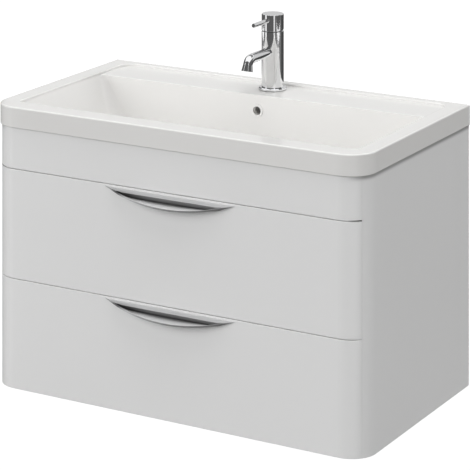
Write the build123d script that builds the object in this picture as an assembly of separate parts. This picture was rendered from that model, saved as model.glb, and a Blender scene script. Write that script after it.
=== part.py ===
from build123d import *
import os
from math import acos, cos, degrees, radians, sin, sqrt, tan

# Wall-hung vanity cabinet with two drawers, a ceramic basin and a single-lever tap.
# Millimetres. The origin is on the wall plane, at the middle of the cabinet's underside.
# +X runs to the right, +Y into the wall and +Z up, so the fronts face -Y.

# Carcass
CAB_W = 800.0
CAB_D = 450.0
CAB_H = 500.0
PANEL_T = 18.0
FRONT_T = 18.0
CORNER_R = 50.0
FRONT_GAP = 1.2
EDGE_GAP = 0.5
EDGE_R = 1.0
FASCIA_H = 78.9
FRONT_STEP = 1.1
FRONT_RAIL_H = 54.0
FRONT_RAIL_LIFT = 2.0
UPPER_RAIL_H = 82.0
UPPER_RAIL_DROP = 8.0
UPPER_RAIL_STANDOFF = 16.0
LOWER_RAIL_H = 80.0

# Cam fittings that hold the panels together
CAM_R = 7.5
CAM_DEPTH = 13.0
CAM_INSET = 24.0
CAM_CLEAR = 0.1
CAM_CROSS_W = 2.0
CAM_CROSS_DEPTH = 2.0
CAM_BOLT_R = 3.0
CAM_BOLT_BITE = 11.0
CAM_BOLT_CLEAR = 0.5
CAM_FRONT_Y = 70.0
CAM_REAR_Y = 60.0
UPPER_CAM_DROP = 64.0

# Concealed hangers and wall plates
HANGER_W = 16.0
HANGER_D = 60.0
HANGER_H = 60.0
HANGER_DROP = 15.0
HANGER_R = 6.0
PEG_R = 5.0
PEG_L = 10.0
PEG_SPACING = 32.0
PEG_CLEAR = 0.1
HOOK_T = 3.0
HOOK_INSET = 6.0
HOOK_REACH = 46.0
HOOK_ARM_H = 12.0
HOOK_LIP_H = 6.0
HOOK_DROP = 30.0
HOOK_CLEAR = 0.4
ADJUSTER_R = 3.5
ADJUSTER_DEPTH = 4.0
ADJUSTER_SPACING = 22.0
PLATE_W = 44.0
PLATE_T = 2.0
PLATE_H = 40.0
PLATE_OFFSET = 5.0
PLATE_LIP_H = 12.0
PLATE_SIDE_GAP = 2.0
PLATE_HOLE_R = 3.2
PLATE_HOLE_SPACING = 22.0
PLATE_HOLE_LIFT = 11.0

# Drawer runners
RUNNER_L = 350.0
RUNNER_SETBACK = 4.0
RAIL_T = 1.5
RAIL_W = 30.0
RAIL_H = 38.0
RAIL_LIP_H = 8.0
MIDDLE_T = 1.2
MIDDLE_W = 18.0
MIDDLE_H = 12.2
MIDDLE_INSET = 8.0
RUN_CLEAR = 0.3
LOWER_RUNNER_Z = 24.0
UPPER_RUNNER_LIFT = 8.9
SCREW_R = 2.0
SCREW_L = 12.0
SCREW_HEAD_R = 4.0
SCREW_HEAD_H = 2.0
SCREW_CLEAR = 0.1
RUNNER_SCREW_LIFT = 27.0
RUNNER_SCREW_INSET = 37.0

# Drawer boxes
SIDE_T = 1.2
SIDE_W = 13.0
SIDE_INSET = 28.0
SIDE_TOP_R = 3.0
LEDGE_W = 12.0
GUIDE_H = 5.0
GUIDE_CLEAR = 0.4
UPPER_SIDE_H = 90.0
LOWER_SIDE_H = 150.0
BOARD_T = 16.0
CUTOUT_W = 220.0
CUTOUT_D = 190.0
CUTOUT_R = 40.0
SURROUND_T = 3.0
BRACKET_T = 2.0
BRACKET_L = 40.0
BRACKET_MARGIN = 12.0
BRACKET_CLEAR = 0.3

# Crescent lip handle, measured outward from the front face and down from its own top edge
HANDLE_L = 282.0
HANDLE_DROP = 3.3
HANDLE_SAG = 30.1
FLANGE_T = 1.6
FLANGE_H = 8.1
RECESS_D = 12.0
RECESS_H = 10.9
RECESS_R = 1.0
HANDLE_WALL = 1.5
LIP_REACH = 33.0
LIP_FALL = 3.6
LIP_T = 2.4
BOSS_R = 3.6
BOSS_L = 3.5
BOSS_SPACING = 128.0
BOSS_LIFT = 5.0
HANDLE_SCREW_R = 2.0
HANDLE_SCREW_HEAD_R = 4.0
HANDLE_SCREW_HEAD_H = 2.4

# Ceramic basin
BASIN_SIDE_LAP = 2.0
BASIN_FRONT_LAP = 4.0
BASIN_W = CAB_W + 2 * BASIN_SIDE_LAP
BASIN_D = CAB_D + BASIN_FRONT_LAP
BASIN_H = 40.0
BASIN_CORNER_R = 52.0
BASIN_TOP_R = 3.0
BASIN_FOOT_R = 2.0
RIM_SIDE = 35.5
RIM_FRONT = 44.5
RIM_BACK = 19.0
DECK_DROP = 5.0
DECK_D = 99.0
DECK_T = 12.0
DECK_CORNER_R = 28.0
BOWL_CORNER_R = 12.0
BOWL_FLOOR_R = 34.0
BOWL_DEPTH = 112.0
BOWL_SIDE_DEG = 26.0
BOWL_FRONT_DEG = 16.0
BOWL_BACK_DEG = 2.0
BOWL_WALL = 10.0
BOWL_FLOOR_T = 12.0
FLOOR_FILLET_R = 18.0
RIM_INNER_R = 2.5
DECK_NOSE_R = 5.0
SEAT_SIDE = 27.0
SEAT_FRONT = 30.0
SEAT_BACK = 14.0
OVERFLOW_R = 8.5
OVERFLOW_DROP = 35.0
OVERFLOW_RING_R = 13.2
OVERFLOW_RING_H = 1.5
DUCT_W = 44.0
DUCT_D = 22.0
DUCT_WALL = 6.0
CHANNEL_W = 24.0
CHANNEL_H = 9.0
CHANNEL_WALL = 6.0

# Waste with lift-up plug
WASTE_Y = -215.0
WASTE_HOLE_R = 23.0
WASTE_SEAT_DEPTH = 2.5
WASTE_SEAT_CLEAR = 1.0
WASTE_FLANGE_R = 31.5
WASTE_FLANGE_H = 3.0
WASTE_FLANGE_ROUND = 1.2
WASTE_TUBE_R = 20.95
WASTE_SHANK_R = 20.5
WASTE_BORE_R = 17.5
WASTE_TAIL_L = 81.0
WASTE_SLOT_W = 8.0
SEAL_T = 1.0
WASHER_T = 4.0
WASHER_R = 31.0
RING_CLEAR = 0.3
NUT_T = 12.0
NUT_R = 33.0
HUB_R = 8.0
HUB_H = 10.0
HUB_ARM_W = 4.0
HUB_ARMS = 3
HUB_DROP = 22.0
PLUG_R = 29.5
PLUG_H = 6.0
PLUG_ROUND = 2.5
STEM_R = 4.95
STEM_BORE_R = 5.0
STEM_TAIL = 6.0

# Single-lever tap
TAP_Y = -56.0
TAP_HOLE_R = 17.5
GASKET_T = 1.0
GASKET_R = 27.0
TAP_FLANGE_R = 28.0
TAP_FLANGE_H = 4.5
TAP_FLANGE_ROUND = 1.5
TAP_R = 22.0
TAP_BODY_H = 115.0
TAP_WALL = 3.6
CAVITY_H = 29.0
INLET_R = 4.45
INLET_DEPTH = 14.0
INLET_X = 9.0
INLET_Y = -6.0
CARTRIDGE_H = 23.0
CARTRIDGE_CLEAR = 0.3
NECK_R = 12.0
NECK_H = 4.0
SPINDLE_R = 7.9
SPINDLE_CLEAR = 0.05
SPINDLE_DEPTH = 12.0
COLLAR_R = 19.8
COLLAR_GAP = 0.4
COLLAR_T = 1.3
CAP_GAP = 0.4
CAP_H = 32.0
CAP_WALL = 3.2
CAP_TOP_T = 5.0
CAP_EDGE_R = 1.0
LIFT_DEG = 14.0
LIFT_SPARE_DEG = 1.0
PIVOT_LIFT = 7.0
PIVOT_R = 3.0
PIVOT_CLEAR = 0.05
LUG_R = 5.0
YOKE_W = 10.0
YOKE_GAP = 0.4
LEVER_R = 4.3
LEVER_REACH = 78.0
LEVER_BITE = 4.5
LEVER_LIFT = 21.0
LEVER_CLEAR = 0.05
LEVER_END_R = 0.8
SPOUT_Z = 75.5
SPOUT_R = 9.4
SPOUT_BITE = 4.0
SPOUT_RUN = 86.4
SPOUT_BEND_R = 14.0
SPOUT_BEND_DEG = 75.0
OUTLET_L = 12.0
OUTLET_R = 11.4
OUTLET_BORE_R = 9.2
OUTLET_BORE_DEPTH = 7.0
AERATOR_RECESS = 1.0
AERATOR_CLEAR = 0.1
AERATOR_RING_W = 1.2
AERATOR_GROOVE = 1.5
STUD_R = 4.0
STUD_L = 66.0
STUD_BITE = 5.0
STUD_Y = 10.0
STUD_CLEAR = 0.1
CLAMP_R = 26.0
CLAMP_T = 4.0
CLAMP_FRONT = 2.0
STUD_NUT_R = 7.5
STUD_NUT_T = 7.0

# Places worked out from the sizes above
HALF_W = CAB_W / 2
INNER_X = HALF_W - PANEL_T
FRONT_Y = -CAB_D
FRONT_BACK_Y = FRONT_Y + FRONT_T
FRONTS_H = CAB_H - FASCIA_H - 2 * FRONT_GAP
LOWER_FRONT_H = (FRONTS_H + FRONT_STEP) / 2
UPPER_FRONT_H = (FRONTS_H - FRONT_STEP) / 2
UPPER_FRONT_Z = LOWER_FRONT_H + FRONT_GAP
UPPER_FRONT_TOP = UPPER_FRONT_Z + UPPER_FRONT_H
FASCIA_Z = UPPER_FRONT_TOP + FRONT_GAP
UPPER_RUNNER_Z = UPPER_FRONT_Z + UPPER_RUNNER_LIFT
RUNNER_Y = FRONT_BACK_Y + RUNNER_SETBACK
SIDE_X = INNER_X - SIDE_INSET
BACK_RAIL_Y = -UPPER_RAIL_STANDOFF
HANGER_TOP = CAB_H - HANGER_DROP
HOOK_X = INNER_X - HOOK_INSET - HOOK_T
HOOK_TOP = CAB_H - HOOK_DROP
PLATE_TOP = HOOK_TOP - HOOK_ARM_H - HOOK_CLEAR
BASIN_TOP = CAB_H + BASIN_H
DECK_Z = BASIN_TOP - DECK_DROP
DECK_UNDER = DECK_Z - DECK_T
BOWL_BACK_Y = -RIM_BACK - DECK_D
BOWL_FRONT_Y = -BASIN_D + RIM_FRONT
BOWL_X = BASIN_W / 2 - RIM_SIDE
FLOOR_Z = BASIN_TOP - BOWL_DEPTH
FLOOR_UNDER = FLOOR_Z - BOWL_FLOOR_T
CHANNEL_UNDER = FLOOR_UNDER - CHANNEL_H - CHANNEL_WALL
NUT_UNDER = CHANNEL_UNDER - WASHER_T - NUT_T
WASTE_SEAT_Z = FLOOR_Z - WASTE_SEAT_DEPTH
WASTE_FLANGE_Z = WASTE_SEAT_Z + SEAL_T
TAP_BASE_Z = DECK_Z + GASKET_T
TAP_TOP_Z = TAP_BASE_Z + TAP_BODY_H
CAVITY_Z = TAP_TOP_Z - CAVITY_H
COLLAR_Z = TAP_TOP_Z + COLLAR_GAP
CAP_Z = COLLAR_Z + COLLAR_T + CAP_GAP
PIVOT_Z = CAP_Z + PIVOT_LIFT
HANDLE_R = (HANDLE_L**2 / 4 + HANDLE_SAG**2) / (2 * HANDLE_SAG)


def block(x, y, z):
    """Block between three pairs of limits."""
    centre = ((x[0] + x[1]) / 2, (y[0] + y[1]) / 2, (z[0] + z[1]) / 2)
    return Pos(*centre) * Box(x[1] - x[0], y[1] - y[0], z[1] - z[0])


def post(radius, x, y, z):
    """Round bar standing between two heights."""
    return Pos(x, y, (z[0] + z[1]) / 2) * Cylinder(radius, z[1] - z[0])


def bar_x(radius, x, y, z):
    """Round bar lying between two places across the cabinet."""
    length = abs(x[1] - x[0])
    return Pos((x[0] + x[1]) / 2, y, z) * Rot(0, 90, 0) * Cylinder(radius, length)


def bar_y(radius, x, y, z):
    """Round bar lying between two depths."""
    length = abs(y[1] - y[0])
    return Pos(x, (y[0] + y[1]) / 2, z) * Rot(90, 0, 0) * Cylinder(radius, length)


def along_y(section, y):
    """Section drawn in X and Z, drawn out between two depths."""
    return Plane.XZ.offset(-y[1]) * extrude(section, amount=y[1] - y[0])


def along_x(section, x):
    """Section drawn in Y and Z, drawn out between two places across the cabinet."""
    return Plane.YZ.offset(x[0]) * extrude(section, amount=x[1] - x[0])


def along_z(section, z):
    """Section drawn in plan, drawn out between two heights."""
    return Pos(0, 0, z[0]) * extrude(section, amount=z[1] - z[0])


def rectangle(x, y):
    """Plane rectangle between two pairs of limits."""
    return Pos((x[0] + x[1]) / 2, (y[0] + y[1]) / 2) * Rectangle(x[1] - x[0], y[1] - y[0])


def turned(points, x, y):
    """Solid of revolution about an upright axis from a closed half section."""
    section = Plane.XZ * make_face(Polyline(*points, close=True))
    return Pos(x, y, 0) * revolve(section, axis=Axis.Z)


def left_of(piece):
    """Mirror image of a right-hand piece."""
    return mirror(piece, about=Plane.YZ)


def group(pieces):
    """Several separate solids in one node."""
    return Compound(children=list(pieces))


# Carcass panels


def corner_angle(depth):
    """Turn of the rounded cabinet corner at a depth behind the front face."""
    return degrees(acos((CORNER_R - depth) / CORNER_R))


def corner_point(angle, side):
    """Point on the rounded cabinet corner, counted from straight ahead."""
    x = HALF_W - CORNER_R + CORNER_R * sin(radians(angle))
    y = FRONT_Y + CORNER_R - CORNER_R * cos(radians(angle))
    return (side * x, y)


def corner_arc(start, end, side):
    """Stretch of the rounded cabinet corner between two turns."""
    stops = (start, (start + end) / 2, end)
    return ThreePointArc(*[corner_point(angle, side) for angle in stops])


def front_panel(z):
    """Front with both ends rolled round the cabinet corners, edges eased all round."""
    end = corner_angle(FRONT_T)
    right = corner_arc(0, end, 1)
    left = corner_arc(0, end, -1)
    face = Line(left @ 0, right @ 0)
    back = Line(right @ 1, left @ 1)
    panel = along_z(make_face([face, right, back, left]), z)
    outer = panel.edges().filter_by(lambda e: e.center().Y < FRONT_BACK_Y - EDGE_GAP)
    rims = outer.filter_by(Plane.XY)
    return fillet(rims, EDGE_R)


def side_panel():
    """Right-hand side whose front edge carries the rest of the rounded corner."""
    start = corner_angle(FRONT_T + EDGE_GAP)
    arc = corner_arc(start, 90, 1)
    front_y = (arc @ 0).Y
    outline = [
        arc,
        Line(arc @ 1, (HALF_W, 0)),
        Line((HALF_W, 0), (INNER_X, 0)),
        Line((INNER_X, 0), (INNER_X, front_y)),
        Line((INNER_X, front_y), arc @ 0),
    ]
    panel = along_z(make_face(outline), (0, CAB_H))
    for y, z in runner_screw_places():
        panel -= bar_x(SCREW_R + SCREW_CLEAR, (INNER_X, INNER_X + SCREW_L), y, z)
    for y, z in peg_places():
        panel -= bar_x(PEG_R + PEG_CLEAR, (INNER_X, INNER_X + PEG_L), y, z)
    for y, z in cam_bolt_places():
        panel -= bar_x(CAM_BOLT_R + CAM_CLEAR, (INNER_X, INNER_X + CAM_BOLT_BITE), y, z)
    return panel


# Cam fittings: each sits in a flat board face and draws in a bolt from the side panel


CAM_X = INNER_X - CAM_INSET
MID_T = PANEL_T / 2
BOTTOM_CAMS = [FRONT_BACK_Y + CAM_FRONT_Y, -CAM_REAR_Y]
FRONT_RAIL_Z = FASCIA_Z + FRONT_RAIL_LIFT
FRONT_CAM_Z = FRONT_RAIL_Z + FRONT_RAIL_H / 2
UPPER_RAIL_TOP = CAB_H - UPPER_RAIL_DROP
UPPER_CAM_Z = UPPER_RAIL_TOP - UPPER_CAM_DROP
LOWER_CAM_Z = PANEL_T + LOWER_RAIL_H / 2


def cam_bolt_places():
    """Depth and height of every cam bolt."""
    places = [(y, MID_T) for y in BOTTOM_CAMS]
    places.append((FRONT_BACK_Y + MID_T, FRONT_CAM_Z))
    places.append((BACK_RAIL_Y - MID_T, UPPER_CAM_Z))
    places.append((-MID_T, LOWER_CAM_Z))
    return places


def cam_seats():
    """Foot and outward direction of every right-hand cam."""
    seats = [((CAM_X, y, PANEL_T), (0, 0, 1)) for y in BOTTOM_CAMS]
    seats.append(((CAM_X, FRONT_BACK_Y + PANEL_T, FRONT_CAM_Z), (0, 1, 0)))
    seats.append(((CAM_X, BACK_RAIL_Y - PANEL_T, UPPER_CAM_Z), (0, -1, 0)))
    seats.append(((CAM_X, -PANEL_T, LOWER_CAM_Z), (0, -1, 0)))
    return seats


def cam_disc(seat, radius):
    """Round cam sunk into a board from its face."""
    face = Plane(origin=seat[0], z_dir=seat[1])
    return face.offset(-CAM_DEPTH / 2) * Cylinder(radius, CAM_DEPTH)


def cam_lock(seat):
    """Cam with a cross slot for the screwdriver."""
    disc = cam_disc(seat, CAM_R - CAM_CLEAR)
    face = Plane(origin=seat[0], z_dir=seat[1])
    for length, width in ((CAM_R, CAM_CROSS_W), (CAM_CROSS_W, CAM_R)):
        disc -= face * Box(length, width, 2 * CAM_CROSS_DEPTH)
    return disc


def cam_bolt(place):
    """Bolt from the side panel to the rim of its cam."""
    return bar_x(CAM_BOLT_R, (CAM_X + CAM_R, INNER_X + CAM_BOLT_BITE), *place)


def drilled(board):
    """Board with its cam pockets and bolt holes at both ends."""
    cuts = [cam_disc(seat, CAM_R) for seat in cam_seats()]
    for place in cam_bolt_places():
        cuts.append(bar_x(CAM_BOLT_R + CAM_BOLT_CLEAR, (CAM_X, INNER_X), *place))
    for cut in cuts:
        board -= cut
        board -= left_of(cut)
    return board


def bottom_panel():
    """Cabinet floor between the sides."""
    return drilled(block((-INNER_X, INNER_X), (FRONT_BACK_Y + EDGE_GAP, 0), (0, PANEL_T)))


def front_top_rail():
    """Rail behind the fixed front strip."""
    y = (FRONT_BACK_Y, FRONT_BACK_Y + PANEL_T)
    return drilled(block((-INNER_X, INNER_X), y, (FRONT_RAIL_Z, FRONT_RAIL_Z + FRONT_RAIL_H)))


def upper_back_rail():
    """Rail near the wall with a slot at each end for the hanger hooks."""
    y = (BACK_RAIL_Y - PANEL_T, BACK_RAIL_Y)
    rail = drilled(block((-INNER_X, INNER_X), y, (UPPER_RAIL_TOP - UPPER_RAIL_H, UPPER_RAIL_TOP)))
    x = (HOOK_X - HOOK_CLEAR, HOOK_X + HOOK_T + HOOK_CLEAR)
    z = (HOOK_TOP - HOOK_ARM_H - HOOK_LIP_H - HOOK_CLEAR, HOOK_TOP + HOOK_CLEAR)
    slot = block(x, y, z)
    return rail - slot - left_of(slot)


def lower_back_rail():
    """Rail that bears on the wall above the cabinet floor."""
    z = (PANEL_T, PANEL_T + LOWER_RAIL_H)
    return drilled(block((-INNER_X, INNER_X), (-PANEL_T, 0), z))


# Hangers


HANGER_Y = (BACK_RAIL_Y - PANEL_T - HANGER_D, BACK_RAIL_Y - PANEL_T)


def peg_places():
    """Depth and height of the pegs that hold a hanger to its side panel."""
    y = (HANGER_Y[0] + HANGER_Y[1]) / 2
    z = HANGER_TOP - HANGER_H / 2
    return [(y, z - PEG_SPACING / 2), (y, z + PEG_SPACING / 2)]


def hanger():
    """Right-hand hanger housing with pegs, a hook slot and two adjusters."""
    y_mid = (HANGER_Y[0] + HANGER_Y[1]) / 2
    z_mid = HANGER_TOP - HANGER_H / 2
    section = Pos(y_mid, z_mid) * RectangleRounded(HANGER_D, HANGER_H, HANGER_R)
    housing = along_x(section, (INNER_X - HANGER_W, INNER_X))
    for y, z in peg_places():
        housing += bar_x(PEG_R, (INNER_X, INNER_X + PEG_L), y, z)
    x = (HOOK_X - HOOK_CLEAR, HOOK_X + HOOK_T + HOOK_CLEAR)
    z = (HOOK_TOP - HOOK_ARM_H - HOOK_CLEAR, HOOK_TOP + HOOK_CLEAR)
    housing -= block(x, (HANGER_Y[1] - HOOK_REACH, HANGER_Y[1]), z)
    for side in (-1, 1):
        z_adjuster = z_mid + side * ADJUSTER_SPACING / 2
        x_adjuster = INNER_X - HANGER_W / 2
        y = (HANGER_Y[0], HANGER_Y[0] + ADJUSTER_DEPTH)
        housing -= bar_y(ADJUSTER_R, x_adjuster, y, z_adjuster)
    return housing


def hanger_hook():
    """Flat hook from the hanger through the back rail, over the wall plate."""
    front = HANGER_Y[1] - HOOK_REACH
    lip_y = -PLATE_OFFSET + HOOK_CLEAR
    tip_y = -HOOK_CLEAR
    arm_z = HOOK_TOP - HOOK_ARM_H
    outline = [
        (front, arm_z),
        (lip_y, arm_z),
        (lip_y, arm_z - HOOK_LIP_H),
        (tip_y, arm_z - HOOK_LIP_H),
        (tip_y, HOOK_TOP),
        (front, HOOK_TOP),
    ]
    return along_x(make_face(Polyline(*outline, close=True)), (HOOK_X, HOOK_X + HOOK_T))


def wall_plate():
    """Wall plate pressed from sheet: a flat foot and an upper lip that stands off the wall."""
    foot_z = PLATE_TOP - PLATE_H
    step_z = PLATE_TOP - PLATE_LIP_H
    jog = PLATE_OFFSET
    outline = [
        (0, foot_z),
        (0, step_z - jog),
        (-jog, step_z),
        (-jog, PLATE_TOP),
        (-jog - PLATE_T, PLATE_TOP),
        (-jog - PLATE_T, step_z - PLATE_T / 2),
        (-PLATE_T, step_z - jog - PLATE_T / 2),
        (-PLATE_T, foot_z),
    ]
    x = (INNER_X - PLATE_SIDE_GAP - PLATE_W, INNER_X - PLATE_SIDE_GAP)
    plate = along_x(make_face(Polyline(*outline, close=True)), x)
    middle = (x[0] + x[1]) / 2
    for side in (-1, 1):
        hole_x = middle + side * PLATE_HOLE_SPACING / 2
        plate -= bar_y(PLATE_HOLE_R, hole_x, (-PLATE_T, 0), foot_z + PLATE_HOLE_LIFT)
    return plate


# Runners, right-hand side


def runner_screw_places():
    """Depth and height of the screws of both cabinet rails."""
    depths = (RUNNER_Y + RUNNER_SCREW_INSET, RUNNER_Y + RUNNER_L - RUNNER_SCREW_INSET)
    heights = (LOWER_RUNNER_Z, UPPER_RUNNER_Z)
    return [(y, z + RUNNER_SCREW_LIFT) for z in heights for y in depths]


def cabinet_rail(z):
    """Rail fixed to the side panel: tall flange, floor and inner lip."""
    section = rectangle((INNER_X - RAIL_T, INNER_X), (z, z + RAIL_H))
    section += rectangle((INNER_X - RAIL_W, INNER_X), (z, z + RAIL_T))
    section += rectangle((INNER_X - RAIL_W, INNER_X - RAIL_W + RAIL_T), (z, z + RAIL_LIP_H))
    rail = along_y(section, (RUNNER_Y, RUNNER_Y + RUNNER_L))
    for y, screw_z in runner_screw_places():
        rail -= bar_x(SCREW_R + SCREW_CLEAR, (INNER_X - RAIL_T, INNER_X), y, screw_z)
    return rail


def middle_rail(z):
    """Channel that runs on the cabinet rail and carries the drawer side."""
    foot = z + RAIL_T + RUN_CLEAR
    x = (INNER_X - MIDDLE_INSET - MIDDLE_W, INNER_X - MIDDLE_INSET)
    section = rectangle(x, (foot, foot + MIDDLE_H))
    section -= rectangle((x[0] + MIDDLE_T, x[1] - MIDDLE_T), (foot, foot + MIDDLE_H - MIDDLE_T))
    return along_y(section, (RUNNER_Y, RUNNER_Y + RUNNER_L))


def runner_screw(place):
    """Pan-head screw through a cabinet rail into the side panel."""
    head_x = INNER_X - RAIL_T
    shank = bar_x(SCREW_R, (head_x, INNER_X + SCREW_L), *place)
    return shank + bar_x(SCREW_HEAD_R, (head_x - SCREW_HEAD_H, head_x), *place)


# Drawer boxes


def box_foot(runner_z):
    """Height of the ledge that carries a drawer bottom."""
    return runner_z + RAIL_T + RUN_CLEAR + MIDDLE_H + RUN_CLEAR + SIDE_T


def drawer_side(runner_z, height):
    """Right-hand double-wall steel side with its runner foot and bottom ledge."""
    ledge = box_foot(runner_z)
    top = ledge + height
    guide_out = INNER_X - MIDDLE_INSET + GUIDE_CLEAR
    guide_in = INNER_X - MIDDLE_INSET - MIDDLE_W - GUIDE_CLEAR
    wall = rectangle((SIDE_X, SIDE_X + SIDE_W), (ledge - SIDE_T, top))
    wall = fillet(wall.vertices().group_by(Axis.Y)[-1], SIDE_TOP_R)
    hollow = rectangle((SIDE_X + SIDE_T, SIDE_X + SIDE_W - SIDE_T), (ledge, top - SIDE_T))
    hollow = fillet(hollow.vertices().group_by(Axis.Y)[-1], SIDE_TOP_R - SIDE_T)
    foot = rectangle((SIDE_X - LEDGE_W, guide_out + SIDE_T), (ledge - SIDE_T, ledge))
    guides = [(guide_out, guide_out + SIDE_T), (guide_in - SIDE_T, guide_in)]
    section = wall + foot
    for x in guides:
        section += rectangle(x, (ledge - SIDE_T - GUIDE_H, ledge - SIDE_T))
    section -= hollow
    return along_y(section, (FRONT_BACK_Y, RUNNER_Y + RUNNER_L))


def front_bracket(runner_z, height):
    """Bracket inside the hollow of a drawer side, with a foot on the front."""
    ledge = box_foot(runner_z)
    z = (ledge + BRACKET_MARGIN, ledge + height - BRACKET_MARGIN)
    x = (SIDE_X + SIDE_T + BRACKET_CLEAR, SIDE_X + SIDE_W - SIDE_T - BRACKET_CLEAR)
    foot = block(x, (FRONT_BACK_Y, FRONT_BACK_Y + BRACKET_T), z)
    tongue = block((x[0], x[0] + BRACKET_T), (FRONT_BACK_Y, FRONT_BACK_Y + BRACKET_L), z)
    return foot + tongue


BOX_BACK_Y = RUNNER_Y + RUNNER_L
CUTOUT_Y = BOX_BACK_Y - CUTOUT_D


def cutout_outline(grow):
    """U shape, open to the back, grown by a wall."""
    half = CUTOUT_W / 2 + grow
    shape = rectangle((-half, half), (CUTOUT_Y - grow, BOX_BACK_Y))
    return fillet(shape.vertices().group_by(Axis.Y)[0], CUTOUT_R + grow)


def lower_bottom():
    """Plain board between the steel sides."""
    z = box_foot(LOWER_RUNNER_Z)
    return block((-SIDE_X, SIDE_X), (FRONT_BACK_Y, BOX_BACK_Y), (z, z + BOARD_T))


def upper_bottom():
    """Board with the cut-out for the trap."""
    z = box_foot(UPPER_RUNNER_Z)
    board = block((-SIDE_X, SIDE_X), (FRONT_BACK_Y, BOX_BACK_Y), (z, z + BOARD_T))
    return board - along_z(cutout_outline(SURROUND_T), (z, z + BOARD_T))


def cutout_surround():
    """Moulded wall round the cut-out."""
    z = box_foot(UPPER_RUNNER_Z)
    wall = cutout_outline(SURROUND_T) - cutout_outline(0)
    return along_z(wall, (z, z + UPPER_SIDE_H))


def lower_back():
    """Back of the lower drawer."""
    z = box_foot(LOWER_RUNNER_Z)
    return block((-SIDE_X, SIDE_X), (BOX_BACK_Y - BOARD_T, BOX_BACK_Y), (z + BOARD_T, z + LOWER_SIDE_H))


def upper_half_back():
    """Right half of the upper drawer's back, beside the cut-out."""
    z = box_foot(UPPER_RUNNER_Z)
    x = (CUTOUT_W / 2 + SURROUND_T, SIDE_X)
    return block(x, (BOX_BACK_Y - BOARD_T, BOX_BACK_Y), (z + BOARD_T, z + UPPER_SIDE_H))


# Handles


def handle_place(out, down, top):
    """Point of the handle section, out from the front face and down from the handle's top."""
    return (FRONT_Y - out, top - HANDLE_DROP - down)


def crescent(top, spare):
    """Round bar, square to a plane that leans out and down at 45 degrees, that trims the ends."""
    lean = sqrt(0.5)
    rise = HANDLE_R - HANDLE_SAG
    y, z = handle_place(-rise * lean, -rise * lean, top)
    tilted = Plane(origin=(0, y, z), x_dir=(1, 0, 0), z_dir=(0, -lean, lean))
    return tilted * Cylinder(HANDLE_R + spare, HANDLE_L)


HANDLE_BACK = RECESS_D + HANDLE_WALL
RECESS_TOP = FLANGE_H + FLANGE_T / 2
RECESS_FOOT = RECESS_TOP + RECESS_H
BOSS_DOWN = RECESS_TOP + BOSS_LIFT


def handle(top):
    """Crescent pull: flange, recess and hooded lip in one section, trimmed to an arc."""
    lip_y = LIP_REACH - RECESS_D
    lip_h = RECESS_FOOT + LIP_FALL
    places = [
        (0, 0),
        (FLANGE_T, 0),
        (FLANGE_T, FLANGE_H),
        (-RECESS_D, RECESS_TOP),
        (-RECESS_D, RECESS_FOOT),
        (lip_y, lip_h),
        (lip_y, lip_h + LIP_T),
        (0, RECESS_FOOT + LIP_T + LIP_FALL * RECESS_D / LIP_REACH),
        (-HANDLE_BACK, RECESS_FOOT + LIP_T),
        (-HANDLE_BACK, FLANGE_H - HANDLE_WALL),
        (0, FLANGE_H - HANDLE_WALL),
    ]
    corners = [handle_place(out, down, top) for out, down in places]
    section = make_face(Polyline(*corners, close=True))
    bend = section.vertices().sort_by_distance((*handle_place(-RECESS_D, RECESS_FOOT, top), 0))[0]
    section = fillet(bend, RECESS_R)
    pull = along_x(section, (-HANDLE_L / 2, HANDLE_L / 2)) & crescent(top, 0)
    y, z = handle_place(-HANDLE_BACK, BOSS_DOWN, top)
    for side in (-1, 1):
        x = side * BOSS_SPACING / 2
        pull += bar_y(BOSS_R, x, (y, y + BOSS_L), z)
        pull -= bar_y(HANDLE_SCREW_R + SCREW_CLEAR, x, (y, y + BOSS_L), z)
    return pull


def handle_pocket(top):
    """Space in the front for the back of a handle and its bosses."""
    low_y, low_z = handle_place(FLANGE_T, RECESS_FOOT + LIP_T + LIP_FALL * RECESS_D / LIP_REACH, top)
    high_y, high_z = handle_place(-HANDLE_BACK, FLANGE_H - HANDLE_WALL, top)
    room = block((-HANDLE_L / 2, HANDLE_L / 2), (low_y, high_y), (low_z, high_z))
    room = room & crescent(top, SCREW_CLEAR)
    y, z = handle_place(-HANDLE_BACK, BOSS_DOWN, top)
    for side in (-1, 1):
        room += bar_y(BOSS_R + SCREW_CLEAR, side * BOSS_SPACING / 2, (y, FRONT_BACK_Y), z)
    return room


def handle_screw(top, side):
    """Screw from inside the drawer into a handle boss."""
    y, z = handle_place(-HANDLE_BACK, BOSS_DOWN, top)
    x = side * BOSS_SPACING / 2
    shank = bar_y(HANDLE_SCREW_R, x, (y + HANDLE_WALL, FRONT_BACK_Y), z)
    head_y = FRONT_BACK_Y + HANDLE_SCREW_HEAD_H
    return shank + bar_y(HANDLE_SCREW_HEAD_R, x, (FRONT_BACK_Y, head_y), z)


def drawer_front(z):
    """Front with the pocket for its handle."""
    return front_panel(z) - handle_pocket(z[1])


# Basin


def bowl_section(depth, grow, radius):
    """Plan of the bowl at a depth below the deck, grown by a wall."""
    x = BOWL_X - depth * tan(radians(BOWL_SIDE_DEG)) + grow
    front = BOWL_FRONT_Y + depth * tan(radians(BOWL_FRONT_DEG)) - grow
    back = BOWL_BACK_Y - depth * tan(radians(BOWL_BACK_DEG)) + grow
    plan = RectangleRounded(2 * x, back - front, radius + grow)
    return Pos(0, (front + back) / 2, DECK_Z - depth) * plan


def bowl_form(grow, floor_z):
    """Tapered bowl from the deck to its floor, grown by a wall."""
    depth = DECK_Z - floor_z
    mouth = bowl_section(0, grow, BOWL_CORNER_R)
    foot = bowl_section(depth, grow, BOWL_FLOOR_R)
    form = loft([mouth, foot])
    floor_edges = form.faces().sort_by(Axis.Z)[0].edges()
    return fillet(floor_edges, FLOOR_FILLET_R + grow)


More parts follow.
